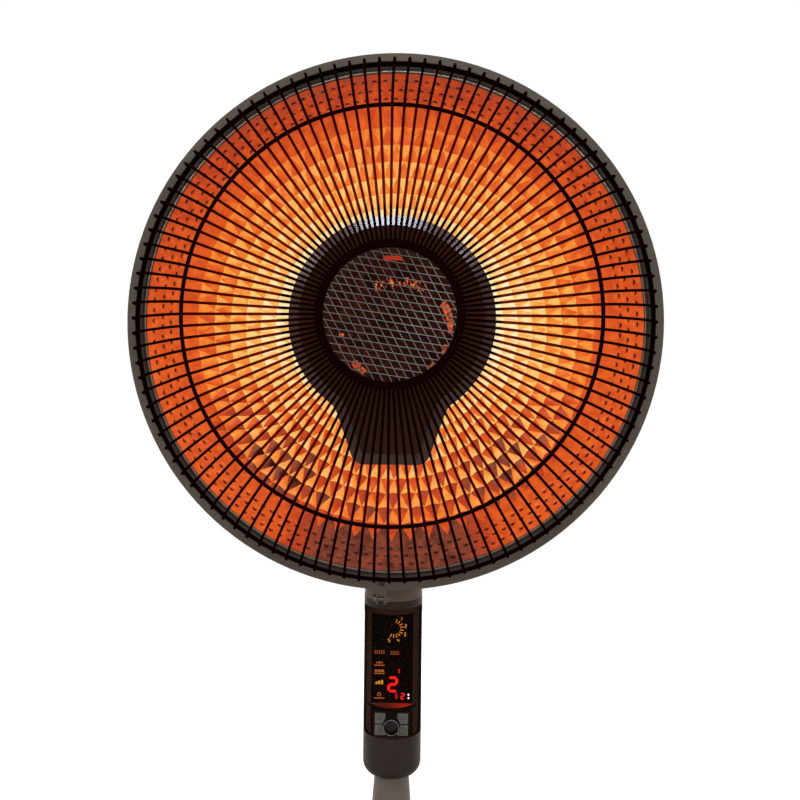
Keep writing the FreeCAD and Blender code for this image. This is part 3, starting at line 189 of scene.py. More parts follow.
# Display marks, as (x, z) on the board's front
BOARD_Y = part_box("display_board")[0][1]
MARK_WALL = 0.0003
TIMER_CENTRE = (0.0016, 0.4284)
TIMER_R = 0.0069
TIMER_BARS = 10
TIMER_FIRST = math.radians(74)
TIMER_STEP = math.radians(-21)
TIMER_BAR = (0.0006, 0.0029)
TIMER_NUMBERS = {"1": (0.0075, 0.4376), "2": (0.0119, 0.4307), "3": (0.0112, 0.4232),
                 "4": (0.0051, 0.4176), "5": (-0.0030, 0.4176)}
TIMER_NUMBER = (0.0016, 0.0030, 0.00042)
SEGMENTS = {"1": "bc", "2": "abged", "3": "abgcd", "4": "fgbc", "5": "afgcd"}
SEGMENT_TRIM = 0.55
MARKS_X = -0.0116
LINE_ROWS = (0.3948, 0.3874, 0.3650)
LINE_SIZE = (0.0094, 0.0008)
RING_MARK_Z = 0.3684
RING_MARK_R = 0.0015
RING_MARK_LINE = 0.0006
LEVEL_BARS_Z = 0.3776
LEVEL_BAR_PITCH = 0.0025
LEVEL_BAR = (0.0017, 0.0022)
LEVEL_BAR_STEP = 0.0008
COLON_X = 0.0150
COLON_ROWS = (0.3686, 0.3656)
COLON_DOT = (0.0012, 0.0014)
TRIO = (-1, 0, 1)

# Rows of dots in two groups, as middle, drop, width and pitch
DOT_ROWS = (0.4077, 0.4058)
DOT_STEPS = range(-2, 3)
DOT_HEIGHT = 0.0008
DOT_GROUPS = ((MARKS_X, 0.0, 0.0012, 0.0019), (0.0022, 0.0005, 0.0010, 0.0017))

# Groups of three blocks, as z, pitch, width, height and extra height of the middle one
BLOCK_TRIOS = ((0.3972, 0.0022, 0.0014, 0.0012, 0.0005), (0.3898, 0.0030, 0.0024, 0.0020, 0.0))

# Red numbers, as digit, middle, width, height and stroke
RED_NUMBERS = (("2", (0.0006, 0.3776), 0.0072, 0.0122, 0.0024),
               ("1", (0.0052, 0.3898), 0.0022, 0.0040, 0.0014),
               ("1", (0.0030, 0.3671), 0.0020, 0.0050, 0.0013),
               ("2", (0.0096, 0.3671), 0.0028, 0.0050, 0.0012))

# Painted border behind the lens, and the shelf below the display
LENS_R = half_span("display_lens", 0)
LENS_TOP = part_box("display_lens")[1][2]
LENS_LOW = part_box("display_lens")[0][2]
LENS_WALL = 0.0025
BORDER_WALL = 0.0003
BORDER_GAP = 0.0002
BORDER_SIDE = math.radians(53)
BORDER_END = math.radians(87)
BORDER_TOP = 0.0058
BORDER_STEPS = 12
SHELF_R = LENS_R - LENS_WALL - 0.0008
SHELF_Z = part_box("display_board")[0][2]
SHELF_SKIN = 0.0003
SHELF_STEPS = 24

# Keys
SIGN_WALL = 0.00012
SIGN_LINE = 0.0007
ARC_SIGN_R = 0.0026
ARC_SIGN_RISE = 0.0016
ARC_SIGN_SPAN = (200, 340)
ARC_SIGN_DOT_PLACE = (0.0027, 0.0014)
ARC_SIGN_DOT = (0.0014, 0.0010)
CLOCK_SIGN_R = 0.0028
CLOCK_SIGN_STEPS = 20
CLOCK_SIGN_HANDS = ((0, 0.0017), (0.0013, 0))
BAR_SIGN_PITCH = 0.0018
BAR_SIGN = (0.0009, 0.0026)
BAR_SIGN_STEP = 0.0012
LINE_SIGN_PITCH = 0.0017
LINE_SIGN = (0.0046, 0.0007)
POWER_RING_R = 0.0069
POWER_RING_WIRE_R = 0.0005
POWER_RING_STEPS = 48

# Small screws
SCREW_R = 0.0032
SCREW_HEIGHT = 0.0014
SCREW_SIDES = 20
SCREW_RINGS = 5
SCREW_CROSS_WALL = 0.0002
REAR_SCREW_R = 0.058
REAR_SCREW_TURNS = (60, 120, 240, 300)
COLUMN_SCREW_SHARES = (0.12, 0.88)

# Photograph's camera, fitted to the rims and rings that it shows
CAMERA_PLACE = (0.0268, -0.7020, 0.6358)
CAMERA_YAW = math.radians(1.85)
CAMERA_ROLL = math.radians(0.60)
CAMERA_LENS = 34.2
SENSOR_WIDTH = 36.0
CLIP_START = 0.01

# Lamps, as name, place, width and power, with a colour for those that only gleam
LAMP_AIM = (0, 0, 0.55)
LAMPS = (("key", (-1.00, -0.50, 1.46), 0.22, 6), ("fill", (0.80, -0.53, 1.64), 0.22, 5),
         ("front", (0.3, -2.2, 1.1), 1.6, 12), ("behind", (0.6, 1.7, 1.5), 1.2, 12))
GLEAM_AIM = (0, -0.1, 0.7)
GLEAM_DEPTH = 0.4
GLEAMS = (("gleam", (-0.08, -0.35, 2.1), 0.8, 52, (0.74, 0.88, 1.0)),
          ("glint_left", (-1.0, -0.5, 1.46), 0.4, 1.8, (1.0, 0.85, 0.65)),
          ("glint_right", (0.8, -0.53, 1.64), 0.12, 3.2, (0.9, 0.95, 1.0)))
WORLD_LIGHT = 0.30
FLOOR_R = 1.6
FLOOR_SEGMENTS = 96
FLOOR_FADE = (0.3, 1.1)
FLOOR_GLOW = (0.5, 1.0)

# Surfaces
GRAIN_SCALE = 900.0
GRAIN_DEPTH = 0.0002
DRIFT_SCALE = 14.0
MARK_DRIFT_SCALE = 400.0
GLOW_MOTTLE_SCALE = 130.0
DISH_DRIFT_SCALE = 30.0
DISH_GRAIN_SCALE = 500.0
NOISE_RANGE = (0.3, 0.7)
SHARP_ANGLE = math.radians(28)

random.seed(7)


def linear(value):
    """Linear light from a screen value between 0 and 1."""
    if value <= 0.04045:
        return value / 12.92
    return ((value + 0.055) / 1.055) ** 2.4


def srgb(red, green, blue):
    """Linear colour from the 0 to 255 values of a screen colour."""
    return tuple(linear(value / 255) for value in (red, green, blue))


# Mesh helpers


def dish_point(radius, angle, y):
    """Point at a radius and an angle about the dish axis."""
    return Vector((radius * math.cos(angle), y, DISH_Z + radius * math.sin(angle)))


def reflector_y(radius):
    """Depth of the reflector's front at a radius."""
    return REFLECTOR_APEX_Y - REFLECTOR_CURVE * radius ** 2


def add_piece(name, bm, body, finish, replaced=()):
    """Turn a bmesh into a piece that rides on a body and stands for CAD nodes."""
    bmesh.ops.recalc_face_normals(bm, faces=bm.faces)
    mesh = bpy.data.meshes.new(name)
    bm.to_mesh(mesh)
    bm.free()
    mesh.shade_smooth()
    mesh.set_sharp_from_angle(angle=SHARP_ANGLE)
    piece = bpy.data.objects.new(name, mesh)
    bpy.context.scene.collection.objects.link(piece)
    mesh.materials.append(finish)
    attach(piece, body)
    if replaced:
        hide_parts(*replaced)
    return piece


def bridge_loops(bm, loops, closed_path):
    """Join successive loops of vertices with four-sided faces."""
    pairs = list(zip(loops, loops[1:]))
    if closed_path:
        pairs.append((loops[-1], loops[0]))
    for here, there in pairs:
        for index in range(len(here)):
            other = (index + 1) % len(here)
            bm.faces.new((here[index], here[other], there[other], there[index]))


def add_strip(bm, loops):
    """Solid strip through successive loops of vertices, closed at both ends."""
    bridge_loops(bm, loops, False)
    bm.faces.new(loops[0])
    bm.faces.new(loops[-1])


def add_slab(bm, near, far):
    """Thin slab between two outlines of vertices."""
    bridge_loops(bm, [near, far], False)
    bm.faces.new(far)
    bm.faces.new(list(reversed(near)))


def add_tube(bm, path, across, radius, sides, closed=False):
    """Round bar along a flat path; across is the normal of the path's plane."""
    loops = []
    count = len(path)
    for index, point in enumerate(path):
        before = path[index - 1] if closed or index > 0 else point
        after = path[(index + 1) % count] if closed or index < count - 1 else point
        along = (after - before).normalized()
        side = along.cross(across).normalized()
        ring = []
        for step in range(sides):
            angle = 2 * math.pi * step / sides
            ring.append(bm.verts.new(point + radius * (side * math.cos(angle) + across * math.sin(angle))))
        loops.append(ring)
    if closed:
        bridge_loops(bm, loops, True)
    else:
        add_strip(bm, loops)


def add_lathe(bm, profile, segments):
    """Closed ring about the dish axis from a closed (radius, y) profile."""
    loops = []
    for index in range(segments):
        angle = 2 * math.pi * index / segments
        loops.append([bm.verts.new(dish_point(radius, angle, y)) for radius, y in profile])
    bridge_loops(bm, loops, True)


def rounded(points, radius):
    """Path of (a, b) points with each inner corner replaced by a short curve."""
    smooth = [Vector(points[0])]
    for before, corner, after in zip(points, points[1:], points[2:]):
        corner = Vector(corner)
        start_way = Vector(before) - corner
        end_way = Vector(after) - corner
        reach = min(radius, start_way.length * BEND_SHARE, end_way.length * BEND_SHARE)
        start = corner + start_way.normalized() * reach
        end = corner + end_way.normalized() * reach
        for step in range(BEND_STEPS + 1):
            t = step / BEND_STEPS
            smooth.append(start * (1 - t) ** 2 + corner * (2 * t * (1 - t)) + end * t ** 2)
    smooth.append(Vector(points[-1]))
    return smooth


def ring_path(radius, y, x=0.0, z=DISH_Z, steps=RING_STEPS):
    """Points of an upright circle, about the dish axis or another middle."""
    angles = [2 * math.pi * step / steps for step in range(steps)]
    return [Vector((x + radius * math.cos(angle), y, z + radius * math.sin(angle))) for angle in angles]


# Materials


def new_material(name):
    """Empty node material with its Principled shader, node list and link function."""
    material = bpy.data.materials.new(name)
    material.use_nodes = True
    nodes = material.node_tree.nodes
    shader = nodes["Principled BSDF"]
    return material, shader, nodes, material.node_tree.links.new


def add_noise(nodes, link, scale, detail=4.0):
    """Value of a noise over the object's own coordinates."""
    place = nodes.new("ShaderNodeTexCoord")
    noise = nodes.new("ShaderNodeTexNoise")
    noise.inputs["Scale"].default_value = scale
    noise.inputs["Detail"].default_value = detail
    link(place.outputs["Object"], noise.inputs["Vector"])
    return noise.outputs["Fac"]


def add_range(nodes, link, source, given, wanted=(0.0, 1.0)):
    """Map a given range of a value to the wanted one."""
    span = nodes.new("ShaderNodeMapRange")
    for name, limit in zip(("From Min", "From Max", "To Min", "To Max"), (*given, *wanted)):
        span.inputs[name].default_value = limit
    link(source, span.inputs["Value"])
    return span.outputs["Result"]


def add_axis(nodes, link, source, axis, limits):
    """Place of the object's own coordinate or normal between two limits along one axis."""
    place = nodes.new("ShaderNodeTexCoord")
    axes = nodes.new("ShaderNodeSeparateXYZ")
    link(place.outputs[source], axes.inputs["Vector"])
    return add_range(nodes, link, axes.outputs[axis], limits)


def add_math(nodes, link, operation, first, second):
    """Result of one operation on two values."""
    node = nodes.new("ShaderNodeMath")
    node.operation = operation
    link(first, node.inputs[0])
    link(second, node.inputs[1])
    return node.outputs[0]


def add_glow_value(nodes):
    """The mesh's own painted glow."""
    lit = nodes.new("ShaderNodeAttribute")
    lit.attribute_name = "glow"
    return lit.outputs["Fac"]


def add_ramp(nodes, link, source, stops):
    """Colour ramp from (place, linear colour) stops."""
    ramp = nodes.new("ShaderNodeValToRGB")
    elements = ramp.color_ramp.elements
    while len(elements) < len(stops):
        elements.new(0.5)
    for element, (place, colour) in zip(elements, stops):
        element.position = place
        element.color = (*colour, 1.0)
    link(source, ramp.inputs["Fac"])
    return ramp.outputs["Color"]


def scaled(colour, factor):
    """Lighter or darker colour."""
    return tuple(min(1.0, c * factor) for c in colour)


def surface(name, colour, roughness, metallic=0.0, bump=0.15, spread=0.12, alpha=1.0, specular=0.4):
    """Moulded, painted or metal surface: fine bump, uneven gloss and a slow drift of tone."""
    material, shader, nodes, link = new_material(name)
    drift = add_noise(nodes, link, DRIFT_SCALE, 3.0)
    stops = [(0.25, scaled(colour, 1 - spread)), (0.75, scaled(colour, 1 + spread))]
    tone = add_ramp(nodes, link, drift, stops)
    link(tone, shader.inputs["Base Color"])
    fine = add_noise(nodes, link, GRAIN_SCALE, 5.0)
    limits = (roughness * 0.85, min(1.0, roughness * 1.15))
    link(add_range(nodes, link, fine, NOISE_RANGE, limits), shader.inputs["Roughness"])
    dents = nodes.new("ShaderNodeBump")
    dents.inputs["Strength"].default_value = bump
    dents.inputs["Distance"].default_value = GRAIN_DEPTH
    link(fine, dents.inputs["Height"])
    link(dents.outputs["Normal"], shader.inputs["Normal"])
    shader.inputs["Metallic"].default_value = metallic
    shader.inputs["Specular IOR Level"].default_value = specular
    shader.inputs["Alpha"].default_value = alpha
    return material


def glow(name, colour, strength):
    """Lit mark: a dark surface that gives light, a little uneven."""
    material, shader, nodes, link = new_material(name)
    shader.inputs["Base Color"].default_value = (*scaled(colour, 0.2), 1.0)
    shader.inputs["Roughness"].default_value = 0.5
    uneven = add_noise(nodes, link, MARK_DRIFT_SCALE)
    tone = add_ramp(nodes, link, uneven, [(0.2, scaled(colour, 0.8)), (0.7, colour)])
    link(tone, shader.inputs["Emission Color"])
    shader.inputs["Emission Strength"].default_value = strength
    return material


def lit_metal(name, coat):
    """Polished metal with the lamp's light painted on as emission: the painted glow of each facet comes
    from the mesh's own attribute.
    """
    material, shader, nodes, link = new_material(name)
    glow_noise = add_noise(nodes, link, GLOW_MOTTLE_SCALE, 3.0)
    glow_mottle = add_range(nodes, link, glow_noise, NOISE_RANGE, (-GLOW_MOTTLE, GLOW_MOTTLE))
    uneven = add_math(nodes, link, "ADD", add_glow_value(nodes), glow_mottle)
    # Colour ramp of the painted lamp light, from painted shade to painted highlight
    warm = add_ramp(nodes, link, uneven, [
        (0.00, srgb(10, 3, 3)), (0.10, srgb(62, 22, 17)), (0.22, srgb(126, 64, 46)),
        (0.36, srgb(190, 64, 28)), (0.50, srgb(230, 94, 34)), (0.64, srgb(250, 146, 56)),
        (0.80, srgb(255, 200, 106)), (1.00, srgb(255, 244, 196))])
    link(warm, shader.inputs["Emission Color"])
    shader.inputs["Emission Strength"].default_value = 1.0
    drift = add_noise(nodes, link, DISH_DRIFT_SCALE)
    tone = add_ramp(nodes, link, drift, [(0.3, srgb(20, 7, 4)), (0.7, srgb(30, 10, 6))])
    link(tone, shader.inputs["Base Color"])
    fine = add_noise(nodes, link, DISH_GRAIN_SCALE)
    link(add_range(nodes, link, fine, NOISE_RANGE, (0.28, 0.38)), shader.inputs["Roughness"])
    shader.inputs["Metallic"].default_value = 1.0
    shader.inputs["Coat Weight"].default_value = coat
    shader.inputs["Coat Roughness"].default_value = 0.04
    return material


def enamel_and_red_glow():
    """Dark enamel, with painted red light where the mesh's own attribute says that the lit dish is close
    behind.
    """
    material = surface("wire_enamel_red_glow", srgb(20, 4, 3), 0.8, specular=0.0)
    nodes = material.node_tree.nodes
    link = material.node_tree.links.new
    red = add_ramp(nodes, link, add_glow_value(nodes), [(0.0, (0, 0, 0)), (1.0, srgb(100, 16, 8))])
    shader = nodes["Principled BSDF"]
    link(red, shader.inputs["Emission Color"])
    shader.inputs["Emission Strength"].default_value = 1.0
    return material


def shield_finish():
    """Dark heat-proof paint, glossier on the bevel than on the flat front."""
    material = surface("shield_brown", srgb(70, 35, 27), 0.3, bump=0.0)
    nodes = material.node_tree.nodes
    link = material.node_tree.links.new
    facing = add_axis(nodes, link, "Normal", "Y", (-1.0, 0.0))
    dull = (0.05, 0.05, 0.05)
    glossy = (0.3, 0.3, 0.3)
    gloss = add_ramp(nodes, link, facing, [(0.06, dull), (0.12, glossy), (0.35, glossy), (0.45, dull)])
    link(gloss, nodes["Principled BSDF"].inputs["Specular IOR Level"])
    return material


def shelf_painted_light():
    """Shelf under the display, with painted red light from the lit numbers above its right half."""
    material, shader, nodes, link = new_material("shelf_glow")
    red = add_ramp(nodes, link, add_axis(nodes, link, "Object", "X", (-SHELF_R, SHELF_R)), [
        (0.05, srgb(84, 46, 28)), (0.40, srgb(112, 34, 20)), (0.75, srgb(205, 44, 22)),
        (0.95, srgb(120, 30, 18))])
    link(red, shader.inputs["Emission Color"])
    shader.inputs["Emission Strength"].default_value = 1.4
    shader.inputs["Base Color"].default_value = (*srgb(40, 22, 15), 1.0)
    shader.inputs["Roughness"].default_value = 0.6
    shader.inputs["Specular IOR Level"].default_value = 0.1
    return material


FINISHES = {
    "shell": surface("shell_taupe", srgb(97, 88, 79), 0.6, specular=0.06),
    "polished_dish": lit_metal("lit_dish", 0.0),
    "guard_wire": enamel_and_red_glow(),
    "mesh_metal": surface("mesh_steel", srgb(80, 82, 78), 0.35, metallic=0.9, spread=0.45),
    "shield_paint": shield_finish(),
    "quartz": surface("quartz_glass", srgb(250, 225, 200), 0.06, alpha=0.35),
    "filament": glow("hot_strand", srgb(255, 150, 60), 2.0),
    "ceramic": surface("ceramic", srgb(228, 222, 208), 0.7),
    "plated_steel": surface("plated_steel", srgb(128, 126, 123), 0.38, metallic=1.0),
    "cast_grey": surface("grey_casting", srgb(104, 100, 95), 0.5, bump=0.3),
    "neck_plastic": surface("neck_beige", srgb(118, 100, 87), 0.5, specular=0.25),
    "collar_plastic": surface("collar_taupe", srgb(38, 28, 22), 0.5, specular=0.15),
    "cap_plastic": surface("cap_taupe", srgb(46, 37, 32), 0.5, specular=0.1),
    "smoked_lens": surface("smoked_lens", srgb(32, 20, 15), 0.2, bump=0.0, alpha=0.40, specular=0.0),
    "bezel_plastic": surface("bezel_black", srgb(28, 21, 18), 0.5, bump=0.03, specular=0.02),
    "key_plastic": surface("key_grey", srgb(106, 98, 90), 0.5, specular=0.12),
    "button_black": surface("button_black", srgb(12, 12, 13), 0.2, bump=0.03, specular=0.12),
    "board_black": surface("board_black", srgb(10, 8, 7), 0.9, bump=0.0, specular=0.0),
    "board_green": surface("board_green", srgb(30, 92, 58), 0.5),
    "gear_plastic": surface("gear_acetal", srgb(224, 222, 214), 0.5),
    "pole_plastic": surface("pole_beige", srgb(100, 89, 80), 0.5, specular=0.25),
    "plate_steel": surface("plate_enamel", srgb(58, 57, 56), 0.45),
    "cast_iron": surface("cast_iron", srgb(84, 82, 80), 0.75, metallic=0.4, bump=0.5),
    "foot_rubber": surface("foot_rubber", srgb(30, 30, 30), 0.8),
}
# Metal of the bumps, with their painted lamp light and shade
BUMP_METAL_AND_GLOW = lit_metal("bump_metal_painted_glow", 0.1)
AMBER_MARK = glow("amber_mark", srgb(255, 165, 36), 2.1)
DIM_MARK = glow("dim_mark", srgb(215, 112, 40), 1.7)
RED_MARK = glow("red_mark", srgb(255, 18, 10), 3.1)
WHITE_MARK = glow("white_mark", srgb(255, 225, 215), 5.6)
ICON_INK = surface("icon_ink", srgb(46, 40, 37), 0.5)
CHROME = surface("chrome", srgb(84, 82, 79), 0.25, metallic=1.0, bump=0.02)
LIP_FINISH = surface("lip_metal", srgb(60, 46, 37), 0.5, specular=0.15)
BEAD_FINISH = surface("bead_metal", srgb(116, 108, 98), 0.55, metallic=0.7)
BORDER_FINISH = surface("border_brown", srgb(150, 107, 87), 0.7, bump=0.0, specular=0.0)
SHELF_GLOW = shelf_painted_light()
# Painted lamp light on the skin inside the shield's tunnel
TUNNEL_GLOW = glow("tunnel_glow", srgb(200, 42, 16), 0.8)
DARK_STEEL = surface("dark_steel", srgb(84, 78, 70), 0.4, metallic=1.0)
NODE_FINISHES = {"clamp_screw": DARK_STEEL, "clamp_nut": DARK_STEEL}


def paint_nodes():
    """Give every CAD node the finish of its slot."""
    for subpart in frame["record"]["subparts"]:
        node = frame["nodes"][subpart["node"]]
        node.data.materials.clear()
        finish = NODE_FINISHES.get(subpart["node"], FINISHES[subpart["material_slot"]])
        node.data.materials.append(finish)


# Reflector


def facet_node(row, column):
    """Corner of the diamond pattern: odd rows are turned by half a column."""
    radius = FACET_INNER_R + (FACET_OUTER_R - FACET_INNER_R) * row / FACET_ROWS
    angle = (column + 0.5 * (row % 2)) * 2 * math.pi / FACET_COLUMNS
    return dish_point(radius, angle, reflector_y(radius))


def dish_normal(point):
    """Normal of the smooth dish at a point, towards the front."""
    radial = Vector((point.x, 0, point.z - DISH_Z))
    return (radial * (-2 * REFLECTOR_CURVE) - BACKWARDS).normalized()


def part_way(value, low, high):
    """Where a value lies between two limits, from 0 to 1."""
    return min(1.0, max(0.0, (value - low) / (high - low)))


def blend(first, second, share):
    """Value between two others."""
    return first + (second - first) * share


def glow_at(point, lean):
    """Place on the ramp of painted lamp light; lean is how far a corner faces to the lamp (1), which paints
    it lit, or away from it (-1), which paints it shaded.
    """
    radius = math.hypot(point.x, point.z - DISH_Z)
    rise = (point.z - DISH_Z) / radius
    if radius < GLOW_SHADE_R:
        return GLOW_SHADE
    outward = part_way(radius, GLOW_NEAR_R, FACET_OUTER_R)
    lively = part_way(rise, *LIVELY_RISE) * blend(1.0, CALM, part_way(rise, *CALM_RISE))
    light = blend(LIGHT_NEAR, blend(LIGHT_TOP, LIGHT_LOW, lively), outward)
    dark = blend(DARK_NEAR, blend(DARK_TOP, DARK_LOW, lively), outward)
    lean *= part_way(outward, 1.0, FADE_START)
    return min(1.0, max(GLOW_LEAST, facet_base(outward, rise) + lean * (light if lean > 0 else dark)))


def facet_base(outward, rise):
    """Mean painted glow of the facets: it falls off from the lamp outwards, and is strongest at both sides.
    """
    near = blend(GLOW_NEAR, GLOW_NEAR_LOW, part_way(rise, *LOWER_RISE))
    side = GLOW_SIDE * (1 - rise ** 2) * part_way(rise, *reversed(LOWER_RISE))
    return blend(near, GLOW_FAR, outward ** GLOW_FALL) + side * (1 - outward)


def plain_glow(point):
    """Painted lamp light of the plain outer zone, with painted shade that is browner below the lamp's ends
    and dimmer along its upper edge.
    """
    radius = math.hypot(point.x, point.z - DISH_Z)
    rise = (point.z - DISH_Z) / radius
    from_bottom = math.acos(min(1.0, max(-1.0, -rise)))
    plain = blend(GLOW_PLAIN, GLOW_PLAIN_TOP, part_way(rise, 0.0, 1.0))
    plain -= EDGE_FADE * part_way(radius, FACET_OUTER_R, REFLECTOR_EDGE_R) * part_way(rise, *EDGE_FADE_RISE)
    return blend(GLOW_LOW, plain, part_way(from_bottom, LOW_HALF_ANGLE, LOW_HALF_ANGLE + LOW_FADE))


def eye_glow(radius, degrees):
    """Painted glow in the shaded middle: almost none, with painted stray light at its edge and some painted
    sparks.
    """
    for patch_r, middle_turn, reach, value in EYE_PATCHES:
        if abs(radius - patch_r) < PATCH_DEPTH and abs((degrees - middle_turn + 180) % 360 - 180) < reach:
            return value * random.choice(EYE_FLICKER)
    in_band = SPARK_RADII[0] < radius < SPARK_RADII[1] and SPARK_ANGLES[0] < degrees < SPARK_ANGLES[1]
    if in_band and random.random() < SPARK_SHARE:
        return random.uniform(*SPARK_GLOW)
    return random.uniform(0.0, EYE_GLOW)


def add_lit_face(bm, layer, corners, values):
    """Face whose corners each have their own glow."""
    face = bm.faces.new(corners)
    for loop, value in zip(face.loops, values):
        loop[layer] = value


def add_diamond(bm, layer, grid, row, column):
    """Four flat sides of one pressed diamond."""
    shift = row % 2
    left = grid[row][column]
    right = grid[row][(column + 1) % FACET_COLUMNS]
    low = grid[row - 1][(column + shift) % FACET_COLUMNS]
    high = grid[row + 1][(column + shift) % FACET_COLUMNS]
    centre = (low.co + high.co + left.co + right.co) / 4
    top = bm.verts.new(centre + dish_normal(centre) * FACET_HEIGHT)
    stray = random.uniform(-FACET_STRAY, FACET_STRAY)
    # Painted light on the half towards the lamp, painted shade on the half away from it
    for tip, leans in ((low, LIT_LEANS), (high, DARK_LEANS)):
        for side, name in ((left, "left"), (right, "right")):
            values = [glow_at(vert.co, lean + stray)
                      for vert, lean in ((tip, leans["tip"]), (side, leans[name]), (top, leans["top"]))]
            add_lit_face(bm, layer, (tip, side, top), values)


def add_plain_ring(bm, layer, inner, outer):
    """Smooth zone of the dish between two rings of corners."""
    for column in range(FACET_COLUMNS):
        other = (column + 1) % FACET_COLUMNS
        corners = (inner[column], inner[other], outer[other], outer[column])
        add_lit_face(bm, layer, corners, [plain_glow(vert.co) for vert in corners])


def add_eye(bm, layer, first):
    """Shaded middle of the dish, in rings of small flat faces."""
    count = len(first)
    radii = [blend(EYE_INNER_R, FACET_INNER_R, step / EYE_RINGS) for step in range(EYE_RINGS)]
    rings = [plain_ring(bm, radius, count) for radius in radii] + [first]
    for inner, outer in zip(rings, rings[1:]):
        for column in range(count):
            other = (column + 1) % count
            middle_point = (inner[column].co + outer[other].co) / 2
            rise = middle_point.z - DISH_Z
            degrees = math.degrees(math.atan2(rise, middle_point.x))
            value = eye_glow(math.hypot(middle_point.x, rise), degrees)
            add_lit_face(bm, layer, (inner[column], inner[other], outer[other], outer[column]), [value] * 4)
    add_lit_face(bm, layer, rings[0], [0.0] * count)


def plain_ring(bm, radius, count=FACET_COLUMNS):
    """Ring of corners on the smooth dish."""
    angles = [2 * math.pi * column / count for column in range(count)]
    return [bm.verts.new(dish_point(radius, angle, reflector_y(radius))) for angle in angles]


def split_ring(bm, ring, parts):
    """The same ring of corners, with more of them on its straight sides."""
    fine = []
    for here, there in zip(ring, ring[1:] + ring[:1]):
        fine.append(here)
        fine += [bm.verts.new(here.co.lerp(there.co, part / parts)) for part in range(1, parts)]
    return fine


def make_reflector():
    """Pressed dish: shaded eye, diamonds, half diamonds at both ends of the rows and a plain outer zone."""
    bm = bmesh.new()
    # Painted lamp light and shade of each corner, which the dish's material gives out as emission
    layer = bm.loops.layers.float.new("glow")
    grid = [[bm.verts.new(facet_node(row, column)) for column in range(FACET_COLUMNS)]
            for row in range(FACET_ROWS + 1)]
    eye_rim = split_ring(bm, grid[0], EYE_SPLIT)
    for column in range(FACET_COLUMNS):
        other = (column + 1) % FACET_COLUMNS
        for row in range(1, FACET_ROWS):
            add_diamond(bm, layer, grid, row, column)
        first = column * EYE_SPLIT
        inner = eye_rim[first:first + EYE_SPLIT] + [grid[0][other], grid[1][column]]
        add_lit_face(bm, layer, inner, [glow_at(vert.co, 0) for vert in inner])
        outer = [grid[FACET_ROWS][column], grid[FACET_ROWS][other], grid[FACET_ROWS - 1][column]]
        add_lit_face(bm, layer, outer, [plain_glow(vert.co) for vert in outer])
    add_eye(bm, layer, eye_rim)
    middle_ring = plain_ring(bm, (FACET_OUTER_R + REFLECTOR_EDGE_R) / 2)
    edge_ring = plain_ring(bm, REFLECTOR_EDGE_R)
    add_plain_ring(bm, layer, grid[FACET_ROWS], middle_ring)
    add_plain_ring(bm, layer, middle_ring, edge_ring)
    back_finish = FINISHES["plated_steel"]
    piece = add_piece("lit_reflector", bm, "head", back_finish, ("reflector",))
    piece.data.materials.append(FINISHES["polished_dish"])
    sheet = piece.modifiers.new("sheet", "SOLIDIFY")
    sheet.thickness = REFLECTOR_SHEET
    sheet.offset = 1.0
    sheet.material_offset = 1
    sheet.material_offset_rim = 1


def make_reflector_lip():
    """Flat lip round the reflector, with a bright bead along its inner edge."""
    bm = bmesh.new()
    inner = REFLECTOR_EDGE_R
    outer = REFLECTOR_EDGE_R + REFLECTOR_LIP
    front = REFLECTOR_EDGE_Y
    back = front + REFLECTOR_SHEET
    profile = [(inner + out, front - forwards) for out, forwards in LIP_ROLL]
    add_lathe(bm, profile + [(outer, front), (outer, back), (inner, back)], LIP_SEGMENTS)
    add_piece("reflector_lip", bm, "head", LIP_FINISH)
    bm = bmesh.new()
    path = ring_path(inner + LIP_BEAD_OUT, front - LIP_BEAD_FRONT)
    add_tube(bm, path, BACKWARDS, LIP_BEAD_R, WIRE_SIDES, closed=True)
    add_piece("reflector_bead", bm, "head", BEAD_FINISH)


def add_dome(bm, place, radius, height, sides=10, rings=3):
    """Round dome on its own flat foot, standing along the place's Z."""
    loops = []
    turns = [2 * math.pi * side / sides for side in range(sides)]
    for ring in range(rings):
        rise = math.pi / 2 * ring / rings
        reach = radius * math.cos(rise)
        up = height * math.sin(rise)
        points = [Vector((reach * math.cos(turn), reach * math.sin(turn), up)) for turn in turns]
        loops.append([bm.verts.new(place @ point) for point in points])
    bridge_loops(bm, loops, False)
    top = bm.verts.new(place @ Vector((0, 0, height)))
    for side in range(sides):
        bm.faces.new((loops[-1][side], loops[-1][(side + 1) % sides], top))
    bm.faces.new(list(reversed(loops[0])))


def bump_glow(face):
    """Painted glow of one face of a bump: a painted highlight brighter than the dish towards the lamp,
    painted shade on the other side.
    """
    centre = face.calc_center_median()
    normal = dish_normal(centre)
    inward = Vector((-centre.x, 0, DISH_Z - centre.z)).normalized()
    facing = (inward - normal * inward.dot(normal)).normalized().dot(face.normal)
    if facing < 0:
        return blend(plain_glow(centre), BUMP_SHADE, part_way(facing, *BUMP_DARK_FACING))
    return plain_glow(centre) + BUMP_GLINT * part_way(facing, *BUMP_LIT_FACING)


def make_reflector_bumps():
    """Three staggered rows of small round bumps near the edge."""
    bm = bmesh.new()
    # Painted lamp light and shade of each face, given out as emission by the bumps' material
    layer = bm.loops.layers.float.new("glow")
    for row, radius in enumerate(BUMP_ROWS):
        for index in range(BUMPS_PER_ROW):
            angle = (index + 0.5 * (row % 2)) * 2 * math.pi / BUMPS_PER_ROW
            centre = dish_point(radius, angle, reflector_y(radius))
            turn = dish_normal(centre).to_track_quat("Z", "Y").to_matrix().to_4x4()
            add_dome(bm, Matrix.Translation(centre) @ turn, BUMP_R, BUMP_HEIGHT)
    bm.normal_update()
    for face in bm.faces:
        value = bump_glow(face)
        for loop in face.loops:
            loop[layer] = value
    add_piece("reflector_bumps", bm, "head", BUMP_METAL_AND_GLOW)


